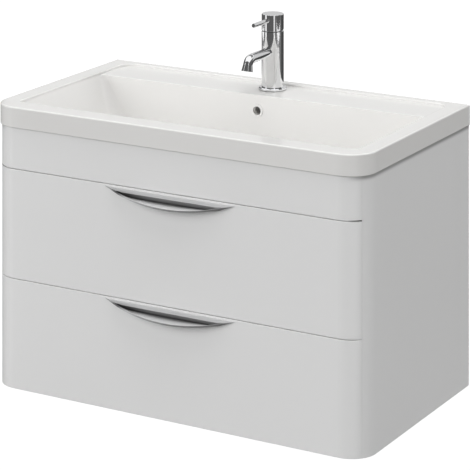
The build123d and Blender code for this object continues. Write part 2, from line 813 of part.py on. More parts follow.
def basin_outline():
    """Plan of the basin: front corners rounded, back corners square on the wall."""
    plan = rectangle((-BASIN_W / 2, BASIN_W / 2), (-BASIN_D, 0))
    return fillet(plan.vertices().group_by(Axis.Y)[0], BASIN_CORNER_R)


def deck_recess():
    """Shallow recess inside the rim, over the bowl and the tap deck."""
    plan = rectangle((-BOWL_X, BOWL_X), (BOWL_FRONT_Y, -RIM_BACK))
    plan = fillet(plan.vertices().group_by(Axis.Y)[0], BOWL_CORNER_R)
    plan = fillet(plan.vertices().group_by(Axis.Y)[-1], DECK_CORNER_R)
    return along_z(plan, (DECK_Z, BASIN_TOP))


def basin_rim():
    """Rim and deck slab, hollow underneath, with eased edges."""
    slab = along_z(basin_outline(), (CAB_H, BASIN_TOP))
    slab = fillet(slab.faces().sort_by(Axis.Z)[-1].edges(), BASIN_TOP_R)
    slab = fillet(slab.faces().sort_by(Axis.Z)[0].edges(), BASIN_FOOT_R)
    x = BASIN_W / 2 - SEAT_SIDE
    hollow = block((-x, x), (-BASIN_D + SEAT_FRONT, -SEAT_BACK), (CAB_H, DECK_UNDER))
    return slab - hollow


def overflow_duct():
    """Duct behind the bowl and under its floor, from the overflow to the waste."""
    wall_y = BOWL_BACK_Y + BOWL_WALL
    half = DUCT_W / 2
    riser = block((-half, half), (wall_y - BOWL_WALL, wall_y + DUCT_D), (CHANNEL_UNDER, DECK_UNDER))
    floor = block((-half, half), (WASTE_Y, wall_y + DUCT_D), (CHANNEL_UNDER, FLOOR_UNDER))
    boss = post(WASHER_R + WASTE_SEAT_CLEAR, 0, WASTE_Y, (CHANNEL_UNDER, FLOOR_UNDER))
    return riser + floor + boss


def overflow_channel():
    """Water way inside the duct."""
    wall_y = BOWL_BACK_Y + BOWL_WALL
    half = CHANNEL_W / 2
    foot = CHANNEL_UNDER + CHANNEL_WALL
    riser = block((-half, half), (wall_y, wall_y + DUCT_D - DUCT_WALL), (foot, DECK_UNDER - DUCT_WALL))
    floor = block((-half, half), (WASTE_Y, wall_y + DUCT_D - DUCT_WALL), (foot, foot + CHANNEL_H))
    return riser + floor


def basin():
    """Ceramic basin in one piece: rim, tap deck, bowl, overflow and waste hole."""
    body = basin_rim() + bowl_form(BOWL_WALL, FLOOR_UNDER) + overflow_duct()
    body -= deck_recess()
    body = fillet(body.edges().filter_by(Plane.XY).filter_by(inner_rim_edge), RIM_INNER_R)
    body -= bowl_form(0, FLOOR_Z)
    body -= deck_nosing()
    z = BASIN_TOP - OVERFLOW_DROP
    face_y = BOWL_BACK_Y - (DECK_Z - z) * tan(radians(BOWL_BACK_DEG))
    body += bar_y(OVERFLOW_RING_R, 0, (face_y - OVERFLOW_RING_H, face_y + BOWL_WALL / 2), z)
    body -= bar_y(OVERFLOW_R, 0, (face_y - BOWL_WALL, BOWL_BACK_Y + BOWL_WALL), z)
    body -= overflow_channel()
    body -= post(TAP_HOLE_R, 0, TAP_Y, (DECK_UNDER - DECK_T, BASIN_TOP))
    body -= post(WASTE_HOLE_R, 0, WASTE_Y, (CHANNEL_UNDER, FLOOR_Z))
    body -= post(WASTE_FLANGE_R + WASTE_SEAT_CLEAR, 0, WASTE_Y, (WASTE_SEAT_Z, FLOOR_Z))
    return body


def inner_rim_edge(edge):
    """Whether an edge runs round the inner edge of the rim."""
    box = edge.bounding_box()
    on_top = abs(box.max.Z - BASIN_TOP) < EDGE_GAP
    across = max(abs(box.min.X), abs(box.max.X)) < BOWL_X + EDGE_GAP
    deep = box.min.Y > BOWL_FRONT_Y - EDGE_GAP and box.max.Y < -RIM_BACK + EDGE_GAP
    return on_top and across and deep


def deck_nosing():
    """Sliver outside the rounded front edge of the tap deck."""
    corner = (BOWL_BACK_Y, DECK_Z)
    back = (BOWL_BACK_Y + DECK_NOSE_R, DECK_Z)
    foot = (BOWL_BACK_Y, DECK_Z - DECK_NOSE_R)
    swell = DECK_NOSE_R * (1 - sqrt(0.5))
    middle = (BOWL_BACK_Y + swell, DECK_Z - swell)
    outline = [Line(foot, corner), Line(corner, back), ThreePointArc(back, middle, foot)]
    return along_x(make_face(outline), (-BOWL_X, BOWL_X))


# Waste


def waste_body():
    """Flanged waste with a threaded tail, overflow slots and a guide for the plug's stem."""
    top = WASTE_FLANGE_Z + WASTE_FLANGE_H
    tail = WASTE_FLANGE_Z - WASTE_TAIL_L
    section = [
        (WASTE_BORE_R, tail),
        (WASTE_TUBE_R, tail),
        (WASTE_TUBE_R, NUT_UNDER),
        (WASTE_SHANK_R, NUT_UNDER),
        (WASTE_SHANK_R, WASTE_FLANGE_Z),
        (WASTE_FLANGE_R, WASTE_FLANGE_Z),
        (WASTE_FLANGE_R, top - WASTE_FLANGE_ROUND),
        (WASTE_FLANGE_R - WASTE_FLANGE_ROUND, top),
        (WASTE_BORE_R, top),
    ]
    body = turned(section, 0, WASTE_Y)
    slot_z = (CHANNEL_UNDER + CHANNEL_WALL, CHANNEL_UNDER + CHANNEL_WALL + CHANNEL_H)
    half = WASTE_SLOT_W / 2
    span = (WASTE_Y - WASTE_HOLE_R, WASTE_Y + WASTE_HOLE_R)
    body -= block((-half, half), span, slot_z)
    body -= block((-WASTE_HOLE_R, WASTE_HOLE_R), (WASTE_Y - half, WASTE_Y + half), slot_z)
    hub_top = WASTE_FLANGE_Z - HUB_DROP
    hub_z = (hub_top - HUB_H, hub_top)
    hub = post(HUB_R, 0, WASTE_Y, hub_z)
    reach = (WASTE_BORE_R + WASTE_TUBE_R) / 2
    for step in range(HUB_ARMS):
        arm = block((0, reach), (-HUB_ARM_W / 2, HUB_ARM_W / 2), hub_z)
        hub += Pos(0, WASTE_Y, 0) * Rot(0, 0, 360 * step / HUB_ARMS) * arm
    hub -= post(STEM_BORE_R, 0, WASTE_Y, hub_z)
    return body + hub


def waste_plug():
    """Domed plug on a stem, resting closed on the flange."""
    foot = WASTE_FLANGE_Z + WASTE_FLANGE_H + RUN_CLEAR
    tip = WASTE_FLANGE_Z - HUB_DROP - HUB_H - STEM_TAIL
    section = [
        (0, tip),
        (STEM_R, tip),
        (STEM_R, foot),
        (PLUG_R, foot),
        (PLUG_R, foot + PLUG_H - PLUG_ROUND),
        (PLUG_R - PLUG_ROUND, foot + PLUG_H),
        (0, foot + PLUG_H),
    ]
    return turned(section, 0, WASTE_Y)


def ring(outer, inner, x, y, z):
    """Flat ring between two heights."""
    return post(outer, x, y, z) - post(inner, x, y, z)


def waste_seal():
    """Seal between the flange and the ceramic."""
    z = (WASTE_SEAT_Z, WASTE_FLANGE_Z)
    return ring(WASTE_FLANGE_R, WASTE_TUBE_R + RING_CLEAR, 0, WASTE_Y, z)


def waste_washer():
    """Washer under the basin."""
    z = (CHANNEL_UNDER - WASHER_T, CHANNEL_UNDER)
    return ring(WASHER_R, WASTE_TUBE_R + RING_CLEAR, 0, WASTE_Y, z)


def waste_nut():
    """Hexagonal back nut."""
    z = (NUT_UNDER, NUT_UNDER + NUT_T)
    hexagon = Pos(0, WASTE_Y) * RegularPolygon(NUT_R, 6)
    return along_z(hexagon, z) - post(WASTE_TUBE_R + RING_CLEAR, 0, WASTE_Y, z)


# Tap


def tap_gasket():
    """Gasket under the tap's flange."""
    return ring(GASKET_R, TAP_HOLE_R, 0, TAP_Y, (DECK_Z, TAP_BASE_Z))


def tap_body():
    """Turned body with flange, cartridge chamber, spout port, inlets and stud hole."""
    flange_top = TAP_BASE_Z + TAP_FLANGE_H
    section = [
        (0, TAP_BASE_Z),
        (TAP_FLANGE_R, TAP_BASE_Z),
        (TAP_FLANGE_R, flange_top - TAP_FLANGE_ROUND),
        (TAP_FLANGE_R - TAP_FLANGE_ROUND, flange_top),
        (TAP_R, flange_top),
        (TAP_R, TAP_TOP_Z),
        (TAP_R - TAP_WALL, TAP_TOP_Z),
        (TAP_R - TAP_WALL, CAVITY_Z),
        (0, CAVITY_Z),
    ]
    body = turned(section, 0, TAP_Y)
    for side in (-1, 1):
        z = (TAP_BASE_Z, TAP_BASE_Z + INLET_DEPTH)
        body -= post(INLET_R, side * INLET_X, TAP_Y + INLET_Y, z)
    body -= post(STUD_R + STUD_CLEAR, 0, TAP_Y + STUD_Y, (TAP_BASE_Z, TAP_BASE_Z + STUD_BITE))
    port = (TAP_Y - 2 * TAP_R, TAP_Y - TAP_R + SPOUT_BITE)
    return body - bar_y(SPOUT_R + STUD_CLEAR, 0, port, TAP_BASE_Z + SPOUT_Z)


def tap_spout():
    """Spout: straight run, tight bend and a slightly flared outlet."""
    z = TAP_BASE_Z + SPOUT_Z
    bend_y = TAP_Y - SPOUT_RUN
    run = bar_y(SPOUT_R, 0, (bend_y, TAP_Y - TAP_R + SPOUT_BITE), z)
    start = Plane(origin=(0, bend_y, z), x_dir=(1, 0, 0), z_dir=(0, -1, 0))
    hinge = Axis((0, bend_y, z - SPOUT_BEND_R), (1, 0, 0))
    bend = revolve(start * Circle(SPOUT_R), axis=hinge, revolution_arc=SPOUT_BEND_DEG)
    mouth = outlet_plane()
    flare = loft([mouth * Circle(SPOUT_R), mouth.offset(OUTLET_L) * Circle(OUTLET_R)])
    bore = mouth.offset(OUTLET_L - OUTLET_BORE_DEPTH / 2) * Cylinder(OUTLET_BORE_R, OUTLET_BORE_DEPTH)
    return run + bend + flare - bore


def outlet_plane():
    """Plane at the end of the spout's bend, facing the way the water leaves."""
    turn = radians(SPOUT_BEND_DEG)
    y = TAP_Y - SPOUT_RUN - SPOUT_BEND_R * sin(turn)
    z = TAP_BASE_Z + SPOUT_Z - SPOUT_BEND_R * (1 - cos(turn))
    return Plane(origin=(0, y, z), x_dir=(1, 0, 0), z_dir=(0, -cos(turn), -sin(turn)))


def tap_aerator():
    """Aerator in the outlet, with a ring groove round its screen."""
    depth = OUTLET_BORE_DEPTH - AERATOR_RECESS
    face = outlet_plane().offset(OUTLET_L - AERATOR_RECESS)
    radius = OUTLET_BORE_R - AERATOR_CLEAR
    insert = face.offset(-depth / 2) * Cylinder(radius, depth)
    groove = Circle(radius - AERATOR_RING_W) - Circle(radius - 2 * AERATOR_RING_W)
    return insert - extrude(face * groove, amount=-AERATOR_GROOVE)


def tap_cartridge():
    """Cartridge with a neck and a bore for its spindle."""
    radius = TAP_R - TAP_WALL - CARTRIDGE_CLEAR
    shoulder = CAVITY_Z + CARTRIDGE_H
    case = post(radius, 0, TAP_Y, (CAVITY_Z, shoulder))
    case += post(NECK_R, 0, TAP_Y, (shoulder, shoulder + NECK_H))
    bore_z = (shoulder + NECK_H - SPINDLE_DEPTH, shoulder + NECK_H)
    return case - post(SPINDLE_R + SPINDLE_CLEAR, 0, TAP_Y, bore_z)


def cartridge_nut():
    """Ring nut that holds the cartridge down."""
    shoulder = CAVITY_Z + CARTRIDGE_H
    outer = TAP_R - TAP_WALL - CARTRIDGE_CLEAR
    return ring(outer, NECK_R + CARTRIDGE_CLEAR, 0, TAP_Y, (shoulder, TAP_TOP_Z))


def tap_rotor():
    """Turning spindle with its collar, yoke and tilt pins."""
    shoulder = CAVITY_Z + CARTRIDGE_H
    foot = shoulder + NECK_H - SPINDLE_DEPTH + COLLAR_GAP
    rotor = post(SPINDLE_R, 0, TAP_Y, (foot, COLLAR_Z))
    rotor += post(COLLAR_R, 0, TAP_Y, (COLLAR_Z, COLLAR_Z + COLLAR_T))
    half = YOKE_W / 2
    rotor += block((-half, half), (TAP_Y - half, TAP_Y + half), (COLLAR_Z, PIVOT_Z + half))
    reach = TAP_R - CAP_WALL - YOKE_GAP
    return rotor + bar_x(PIVOT_R, (-reach, reach), TAP_Y, PIVOT_Z)


def lever_cap():
    """Hollow cap with inner lugs on the tilt pins and its heel cut back for the lift."""
    top = CAP_Z + CAP_H
    cap = post(TAP_R, 0, TAP_Y, (CAP_Z, top))
    cap = fillet(cap.faces().sort_by(Axis.Z)[-1].edges(), CAP_EDGE_R)
    inner = TAP_R - CAP_WALL
    cap -= post(inner, 0, TAP_Y, (CAP_Z, top - CAP_TOP_T))
    lug_x = (YOKE_W / 2 + YOKE_GAP, inner + CAP_WALL / 2)
    lug = bar_x(LUG_R, lug_x, TAP_Y, PIVOT_Z)
    cap += lug
    cap += left_of(lug)
    cap -= bar_x(PIVOT_R + PIVOT_CLEAR, (-inner, inner), TAP_Y, PIVOT_Z)
    heel = Plane(origin=(0, TAP_Y, CAP_Z)) * Rot(LIFT_DEG + LIFT_SPARE_DEG, 0, 0)
    cap -= heel * Pos(0, TAP_R, -TAP_R) * Box(4 * TAP_R, 2 * TAP_R, 2 * TAP_R)
    z = CAP_Z + LEVER_LIFT
    return cap - bar_y(LEVER_R + LEVER_CLEAR, 0, (TAP_Y - TAP_R, TAP_Y - TAP_R + LEVER_BITE), z)


def lever_pin():
    """Slim round lever that points to the front."""
    z = CAP_Z + LEVER_LIFT
    tip = TAP_Y - LEVER_REACH
    pin = bar_y(LEVER_R, 0, (tip, TAP_Y - TAP_R + LEVER_BITE), z)
    return fillet(pin.faces().sort_by(Axis.Y)[0].edges(), LEVER_END_R)


def tap_stud():
    """Threaded stud that pulls the tap down."""
    top = TAP_BASE_Z + STUD_BITE
    return post(STUD_R, 0, TAP_Y + STUD_Y, (top - STUD_L, top))


def tap_clamp_washer():
    """Half-moon washer under the deck, clear of the inlets."""
    z = (DECK_UNDER - CLAMP_T, DECK_UNDER)
    plate = post(CLAMP_R, 0, TAP_Y, z)
    plate -= block((-CLAMP_R, CLAMP_R), (TAP_Y - CLAMP_R, TAP_Y + CLAMP_FRONT), z)
    return plate - post(STUD_R + RING_CLEAR, 0, TAP_Y + STUD_Y, z)


def tap_stud_nut():
    """Nut on the stud."""
    top = DECK_UNDER - CLAMP_T
    nut = along_z(Pos(0, TAP_Y + STUD_Y) * RegularPolygon(STUD_NUT_R, 6), (top - STUD_NUT_T, top))
    return nut - post(STUD_R + STUD_CLEAR, 0, TAP_Y + STUD_Y, (top - STUD_NUT_T, top))


def pair(nodes, name, piece):
    """Store a right-hand piece and its mirror image under left and right names."""
    nodes["right_" + name] = piece
    nodes["left_" + name] = left_of(piece)


def carcass_nodes():
    """Panels, cam fittings and hanging hardware."""
    nodes = {
        "bottom_panel": bottom_panel(),
        "fascia_panel": front_panel((FASCIA_Z, CAB_H)),
        "front_top_rail": front_top_rail(),
        "upper_back_rail": upper_back_rail(),
        "lower_back_rail": lower_back_rail(),
    }
    pair(nodes, "side_panel", side_panel())
    pair(nodes, "hanger", hanger())
    pair(nodes, "wall_plate", wall_plate())
    locks = [cam_lock(seat) for seat in cam_seats()]
    bolts = [cam_bolt(place) for place in cam_bolt_places()]
    screws = [runner_screw(place) for place in runner_screw_places()]
    hooks = [hanger_hook()]
    fittings = {"cam_locks": locks, "cam_bolts": bolts, "runner_screws": screws, "hanger_hooks": hooks}
    for name, right_hand in fittings.items():
        nodes[name] = group(right_hand + [left_of(piece) for piece in right_hand])
    return nodes


def drawer_nodes(level, runner_z, side_h, front_z):
    """Runners, steel sides, brackets, front and handle of one drawer."""
    nodes = {
        level + "_drawer_front": drawer_front(front_z),
        level + "_handle": handle(front_z[1]),
        level + "_handle_screws": group(handle_screw(front_z[1], side) for side in (-1, 1)),
    }
    bracket = front_bracket(runner_z, side_h)
    nodes[level + "_front_brackets"] = group([bracket, left_of(bracket)])
    pair(nodes, level + "_cabinet_rail", cabinet_rail(runner_z))
    pair(nodes, level + "_middle_rail", middle_rail(runner_z))
    pair(nodes, level + "_drawer_side", drawer_side(runner_z, side_h))
    return nodes


def fitting_nodes():
    """Basin, waste and tap."""
    return {
        "basin": basin(),
        "waste_body": waste_body(),
        "waste_plug": waste_plug(),
        "waste_seal": waste_seal(),
        "waste_washer": waste_washer(),
        "waste_nut": waste_nut(),
        "tap_gasket": tap_gasket(),
        "tap_body": tap_body(),
        "tap_spout": tap_spout(),
        "tap_aerator": tap_aerator(),
        "tap_cartridge": tap_cartridge(),
        "cartridge_nut": cartridge_nut(),
        "tap_rotor": tap_rotor(),
        "lever_cap": lever_cap(),
        "lever_pin": lever_pin(),
        "tap_stud": tap_stud(),
        "tap_clamp_washer": tap_clamp_washer(),
        "tap_stud_nut": tap_stud_nut(),
    }


def build():
    """Every node of the vanity by name."""
    nodes = carcass_nodes()
    nodes.update(drawer_nodes("lower", LOWER_RUNNER_Z, LOWER_SIDE_H, (0, LOWER_FRONT_H)))
    nodes.update(drawer_nodes("upper", UPPER_RUNNER_Z, UPPER_SIDE_H, (UPPER_FRONT_Z, UPPER_FRONT_TOP)))
    nodes["lower_drawer_bottom"] = lower_bottom()
    nodes["lower_drawer_back"] = lower_back()
    nodes["upper_drawer_bottom"] = upper_bottom()
    nodes["cutout_surround"] = cutout_surround()
    pair(nodes, "upper_drawer_back", upper_half_back())
    nodes.update(fitting_nodes())
    return nodes


os.makedirs("parts", exist_ok=True)
for node, solid in build().items():
    export_step(solid, f"parts/{node}.step")
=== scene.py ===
"""Looks for a wall-hung vanity cabinet with two drawers, a ceramic basin and a lever tap."""

import logging
import math
from dataclasses import dataclass
from enum import Enum
from typing import Callable, Dict, Iterable, List, Sequence, Tuple, Union

import bmesh
import bpy
from mathutils import Matrix, Vector


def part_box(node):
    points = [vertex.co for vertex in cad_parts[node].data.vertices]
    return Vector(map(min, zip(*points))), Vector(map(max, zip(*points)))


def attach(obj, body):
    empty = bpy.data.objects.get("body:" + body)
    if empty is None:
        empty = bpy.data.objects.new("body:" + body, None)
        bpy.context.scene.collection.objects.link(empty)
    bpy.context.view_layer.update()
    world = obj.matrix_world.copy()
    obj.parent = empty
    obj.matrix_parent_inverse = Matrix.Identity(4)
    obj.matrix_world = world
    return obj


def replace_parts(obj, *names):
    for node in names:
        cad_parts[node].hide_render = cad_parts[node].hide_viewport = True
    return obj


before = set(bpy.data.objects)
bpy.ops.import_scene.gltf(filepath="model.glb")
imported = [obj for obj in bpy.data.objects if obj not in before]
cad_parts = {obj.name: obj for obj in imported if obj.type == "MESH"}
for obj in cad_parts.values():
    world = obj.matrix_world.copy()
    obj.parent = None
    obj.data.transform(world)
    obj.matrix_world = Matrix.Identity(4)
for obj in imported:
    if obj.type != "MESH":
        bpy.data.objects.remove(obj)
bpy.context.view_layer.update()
LOG = logging.getLogger("vanity")
SIDES = ("left", "right")
SIGNS = (-1, 1)
LEVELS = ("upper", "lower")
FRONT_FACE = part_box("fascia_panel")[0][1]
STRIP_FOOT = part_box("fascia_panel")[0][2]
STRIP_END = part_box("fascia_panel")[1][0]
CABINET_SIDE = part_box("right_side_panel")[1][0]
CABINET_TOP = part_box("right_side_panel")[1][2]
HANDLE_TOPS = {level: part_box(f"{level}_handle")[1][2] for level in LEVELS}

Pair = Tuple[float, float]
Point = Tuple[float, float, float]
Colour = Tuple[float, float, float]
Socket = bpy.types.NodeSocket


class Slot(Enum):
    """Finishes that the cabinet's pieces are made in."""

    LACQUER = "lacquer"
    BOARD = "board"
    CERAMIC = "ceramic"
    CHROME = "chrome"
    SATIN_CHROME = "satin_chrome"
    STEEL = "steel"
    DRAWER_STEEL = "drawer_steel"
    PLASTIC = "plastic"
    RUBBER = "rubber"
    BRASS = "brass"


class Cloud(Enum):
    """How a finish varies its colour."""

    TONE = "tone"
    SPANGLE = "spangle"


@dataclass(frozen=True)
class HandleForm:
    """Sizes of a crescent lip handle, in metres.

    A place on it is given across the drawer, out from the front face and down from the handle's top edge.
    The rates and shares say how fast each size grows from the tips towards the middle.
    """

    length: float = 0.282
    sag: float = 0.0301
    flange_thickness: float = 0.0016
    flange_height: float = 0.0075
    recess_depth: float = 0.012
    recess_fall: float = 0.0008
    recess_foot: float = 0.0190
    wall: float = 0.0015
    rim_out: float = 0.0193
    rim_down: float = 0.0195
    rim_height: float = 0.0036
    pocket_top: float = 0.0066
    pocket_foot: float = 0.0235
    pocket_slope: float = 0.0425
    pocket_lap: float = 0.001
    skin: float = 0.00003
    edge_round: float = 0.0004
    fill_rate: float = 3.0
    plate_rate: float = 5.0
    flange_share: float = 0.8
    foot_share: float = 1.3
    pocket_share: float = 0.7
    boss_radius: float = 0.0036
    boss_length: float = 0.0035
    boss_spacing: float = 0.128
    boss_down: float = 0.0139

    @property
    def radius(self) -> float:
        """Work out the radius of the crescent's arc."""
        return (self.length**2 / 4 + self.sag**2) / (2 * self.sag)

    def bow(self, across: float) -> float:
        """Tell how far the arc bows at a place, from 0 at the tips to 1 in the middle."""
        return (math.sqrt(self.radius**2 - across**2) - self.radius + self.sag) / self.sag

    def fill(self, across: float) -> float:
        """Tell how much of its full depth the hollow has at a place, from 0 at the tips to 1."""
        return min(1.0, self.fill_rate * self.bow(across))

    def flange(self, across: float) -> float:
        """Tell how far the flange reaches down at a place."""
        return min(self.flange_height, self.flange_share * self.rim_down * self.bow(across))

    def foot(self, across: float) -> float:
        """Tell how far down the back of the hollow ends at a place."""
        reach = self.foot_share * self.rim_down * self.bow(across)
        return min(self.recess_foot, self.flange(across) + self.fill(across) * self.recess_fall + reach)

    def rim(self, across: float) -> Pair:
        """Tell how far down the upper and the lower edge of the rim lie at a place."""
        low = (self.rim_down + self.rim_height) * self.bow(across)
        return low - self.rim_height * self.fill(across), low

    def underside(self, across: float) -> float:
        """Tell how far down the lip's underside meets the front face.

        Args:
            across: the place along the handle.

        Returns:
            The distance down from the handle's top edge.
        """
        depth = self.fill(across) * self.recess_depth
        foot = self.foot(across)
        high, low = self.rim(across)
        share = depth / max(depth + self.rim_out * self.bow(across), self.skin)
        return max(low, foot + (high - foot) * share + self.wall * self.fill(across))

    def section(self, across: float) -> List[Pair]:
        """Draw the section at a place: the flange, the hollow, the lip up to its rim, and the back.

        Args:
            across: where the section lies along the handle.

        Returns:
            The corners, out and down, in order round the section.
        """
        fill = self.fill(across)
        plate = self.flange_thickness * min(1.0, self.plate_rate * self.bow(across))
        flange = self.flange(across)
        foot = self.foot(across)
        pocket = min(self.pocket_top, self.pocket_share * flange)
        back = -fill * (self.recess_depth + self.wall)
        out = self.rim_out * self.bow(across)
        high, low = self.rim(across)
        return [
            (0.0, 0.0),
            (plate, 0.0),
            (plate, flange),
            (-fill * self.recess_depth, flange + fill * self.recess_fall),
            (-fill * self.recess_depth, foot),
            (out, high),
            (out, low),
            (0.0, self.underside(across)),
            (back, foot + fill * self.wall),
            (back, pocket),
            (0.0, pocket),
        ]

    def collar(self, across: float) -> List[Pair]:
        """Draw the section of the front's skin between the lip and the edge of the pocket.

        Args:
            across: where the section lies along the handle.

        Returns:
            The corners, out and down, in order round the section.
        """
        high = self.underside(across) - self.pocket_lap / 2
        low = max(min(self.pocket_foot, self.pocket_slope * self.bow(across)), high) + self.pocket_lap
        return [(-self.wall, high), (self.skin, high), (self.skin, low), (-self.wall, low)]


@dataclass(frozen=True)
class Line:
    """Values along a length, at stops that go from 0 at its start to 1 at its end."""

    start: float
    end: float
    stops: Tuple[Pair, ...] = ((0.0, 0.0), (1.0, 1.0))


@dataclass(frozen=True)
class HollowPaintedLight:
    """Shade and reflection painted on a lip handle: how bright each of its places is painted."""

    # Painted shade: wall darkens down the back of the hollow; lip starts dark at the crease and rises to a painted
    # highlight at the rim; far_end paints the lip darker towards its left tip as a painted reflection; on_lip tells
    # the lip from the wall.
    wall: Line = Line(0.0, 0.020, ((0.0, 1.0), (0.38, 1.0), (0.42, 0.66), (0.60, 0.48), (0.95, 0.07)))
    lip: Line = Line(0.0, 1.0, ((0.0, 0.05), (0.17, 0.28), (0.33, 0.62), (0.6, 1.0), (1.0, 1.1)))
    far_end: Line = Line(-0.120, -0.060, ((0.0, 0.08), (0.35, 0.12), (1.0, 1.0)))
    on_lip: Line = Line(-0.0006, -0.0002)
    # Painted reflection and shade: edge and rim_face set how bright the rim's face and underside are painted along the
    # handle; under_lip picks them out.
    edge: Line = Line(-0.140, 0.140, (
        (0.0, 1.0), (0.045, 0.8), (0.08, 0.2), (0.12, 0.14), (0.15, 0.6), (0.19, 0.95), (0.32, 0.7),
        (0.5, 0.48), (0.7, 0.42), (0.9, 0.28), (1.0, 0.4)))
    rim_face: Line = Line(0.93, 0.99, ((0.0, 0.6), (1.0, 1.0)))
    under_lip: Line = Line(0.0001, 0.0007)


@dataclass(frozen=True)
class SeamPaintedShadow:
    """How much painted shadow darkens the cabinet under the basin at its sides, and how much painted shade darkens the
    gap under the strip at the strip's ends.
    """

    # painted shadow under the basin's overhang at the cabinet's sides
    joint: Line = Line(0.0, 0.010, ((0.0, 0.5), (0.35, 0.45), (0.6, 0.22), (0.85, 0.05), (1.0, 0.0)))
    side: Line = Line(CABINET_SIDE - 0.034, CABINET_SIDE - 0.008)
    gap: Line = Line(0.0, 0.0018, ((0.0, 0.9), (0.6, 0.9), (1.0, 0.0)))
    strip_end: Line = Line(STRIP_END - 0.022, STRIP_END + 0.0002, ((0.0, 0.0), (0.8, 0.9), (0.98, 1.0), (1.0, 0.0)))


class Graph:
    """Node tree with short calls to add and join nodes."""

    def __init__(self, tree: bpy.types.NodeTree) -> None:
        """Take over a tree and empty it."""
        self.tree = tree
        tree.nodes.clear()

    def add(self, kind: str, **settings: object) -> bpy.types.Node:
        """Add one node.

        Args:
            kind: Blender's name for the node.
            settings: the node's own properties.

        Returns:
            The new node.
        """
        node = self.tree.nodes.new(kind)
        for name, value in settings.items():
            setattr(node, name, value)
        return node

    def join(self, source: Socket, target: Socket) -> None:
        """Link an output to an input."""
        self.tree.links.new(source, target)

    def surface(self, shader: Socket, kind: str = "ShaderNodeOutputMaterial") -> None:
        """Put a shader out as the surface."""
        self.join(shader, self.add(kind).inputs["Surface"])

    def group(self, tree: bpy.types.NodeTree, place: Socket, **values: object) -> Socket:
        """Place a shared group with its own values.

        Args:
            tree: the group.
            place: the point that it reads.
            values: what its other inputs are set to.

        Returns:
            The group's output.
        """
        node = self.add("ShaderNodeGroup", node_tree=tree)
        self.join(place, node.inputs["Vector"])
        for name, value in values.items():
            node.inputs[name].default_value = value
        return node.outputs[0]

    def sum(self, operation: str, *terms: Union[float, Socket]) -> Socket:
        """Work out one value from others.

        Args:
            operation: Blender's name for the sum.
            terms: plain numbers or sockets, in order.

        Returns:
            The socket that holds the result.
        """
        node = self.add("ShaderNodeMath", operation=operation)
        for socket, term in zip(node.inputs, terms):
            if isinstance(term, Socket):
                self.join(term, socket)
            else:
                socket.default_value = term
        return node.outputs["Value"]

    def blend(self, kind: str, factor: Socket, first: Socket, second: Socket) -> Socket:
        """Go from one value or colour to another.

        Args:
            kind: Blender's name for what is blended.
            factor: zero for the first, one for the second.
            first: the first value or colour.
            second: the second value or colour.

        Returns:
            The socket that holds the result.
        """
        mix = self.add("ShaderNodeMix", data_type=kind)
        for source, name in ((factor, "Factor"), (first, "A"), (second, "B")):
            self.join(source, mix.inputs[name])
        return mix.outputs["Result"]

    def ramp(self, source: Socket, line: Line) -> Socket:
        """Turn a value into another by a line through several stops.

        Args:
            source: the value to read.
            line: the values along it.

        Returns:
            The socket that holds the result.
        """
        scaled = self.add("ShaderNodeMapRange")
        scaled.inputs["From Min"].default_value = line.start
        scaled.inputs["From Max"].default_value = line.end
        self.join(source, scaled.inputs["Value"])
        drawn = self.add("ShaderNodeValToRGB")
        points = drawn.color_ramp.elements
        while len(points) < len(line.stops):
            points.new(0.5)
        for point, (at, value) in zip(points, line.stops):
            point.position = at
            point.color = (value, value, value, 1.0)
        self.join(scaled.outputs["Result"], drawn.inputs["Fac"])
        return drawn.outputs["Color"]


class Effect:
    """Shader node group that several finishes share."""

    VALUE = "NodeSocketFloat"
    COLOUR = "NodeSocketColor"
    VECTOR = "NodeSocketVector"
    TONES = {"Scale": VALUE, "Light": COLOUR, "Dark": COLOUR}
    NOISE_SPAN = (0.3, 0.7)

    def __init__(self, name: str, inputs: Dict[str, str], output: str) -> None:
        """Make an empty group that reads a point and other named inputs.

        Args:
            name: the group's name.
            inputs: socket types by socket name.
            output: the output's type.
        """
        self.group = bpy.data.node_groups.new(name, "ShaderNodeTree")
        for label, kind in {"Vector": self.VECTOR, **inputs}.items():
            self.group.interface.new_socket(label, in_out="INPUT", socket_type=kind)
        label = "Color" if output == self.COLOUR else "Value"
        self.group.interface.new_socket(label, in_out="OUTPUT", socket_type=output)
        self.graph = Graph(self.group)
        self.source = self.graph.add("NodeGroupInput").outputs
        self.target = self.graph.add("NodeGroupOutput").inputs[label]

    def texture(self, kind: str, output: str, detail: float = 0.0) -> Socket:
        """Add a texture that reads the group's own vector and scale.

        Args:
            kind: Blender's name for the texture.
            output: the output to use.
            detail: how many finer layers a noise has.

        Returns:
            The texture's output.
        """
        node = self.graph.add(kind)
        if detail:
            node.inputs["Detail"].default_value = detail
        for name in ("Vector", "Scale"):
            self.graph.join(self.source[name], node.inputs[name])
        return node.outputs[output]

    def place(self) -> bpy.types.Node:
        """Split the point that the group reads.

        Returns:
            The node that puts out its three lengths.
        """
        node = self.graph.add("ShaderNodeSeparateXYZ")
        self.graph.join(self.source["Vector"], node.inputs["Vector"])
        return node

    def close(self, result: Socket) -> bpy.types.NodeTree:
        """Put out a result and hand over the finished group."""
        self.graph.join(result, self.target)
        return self.group


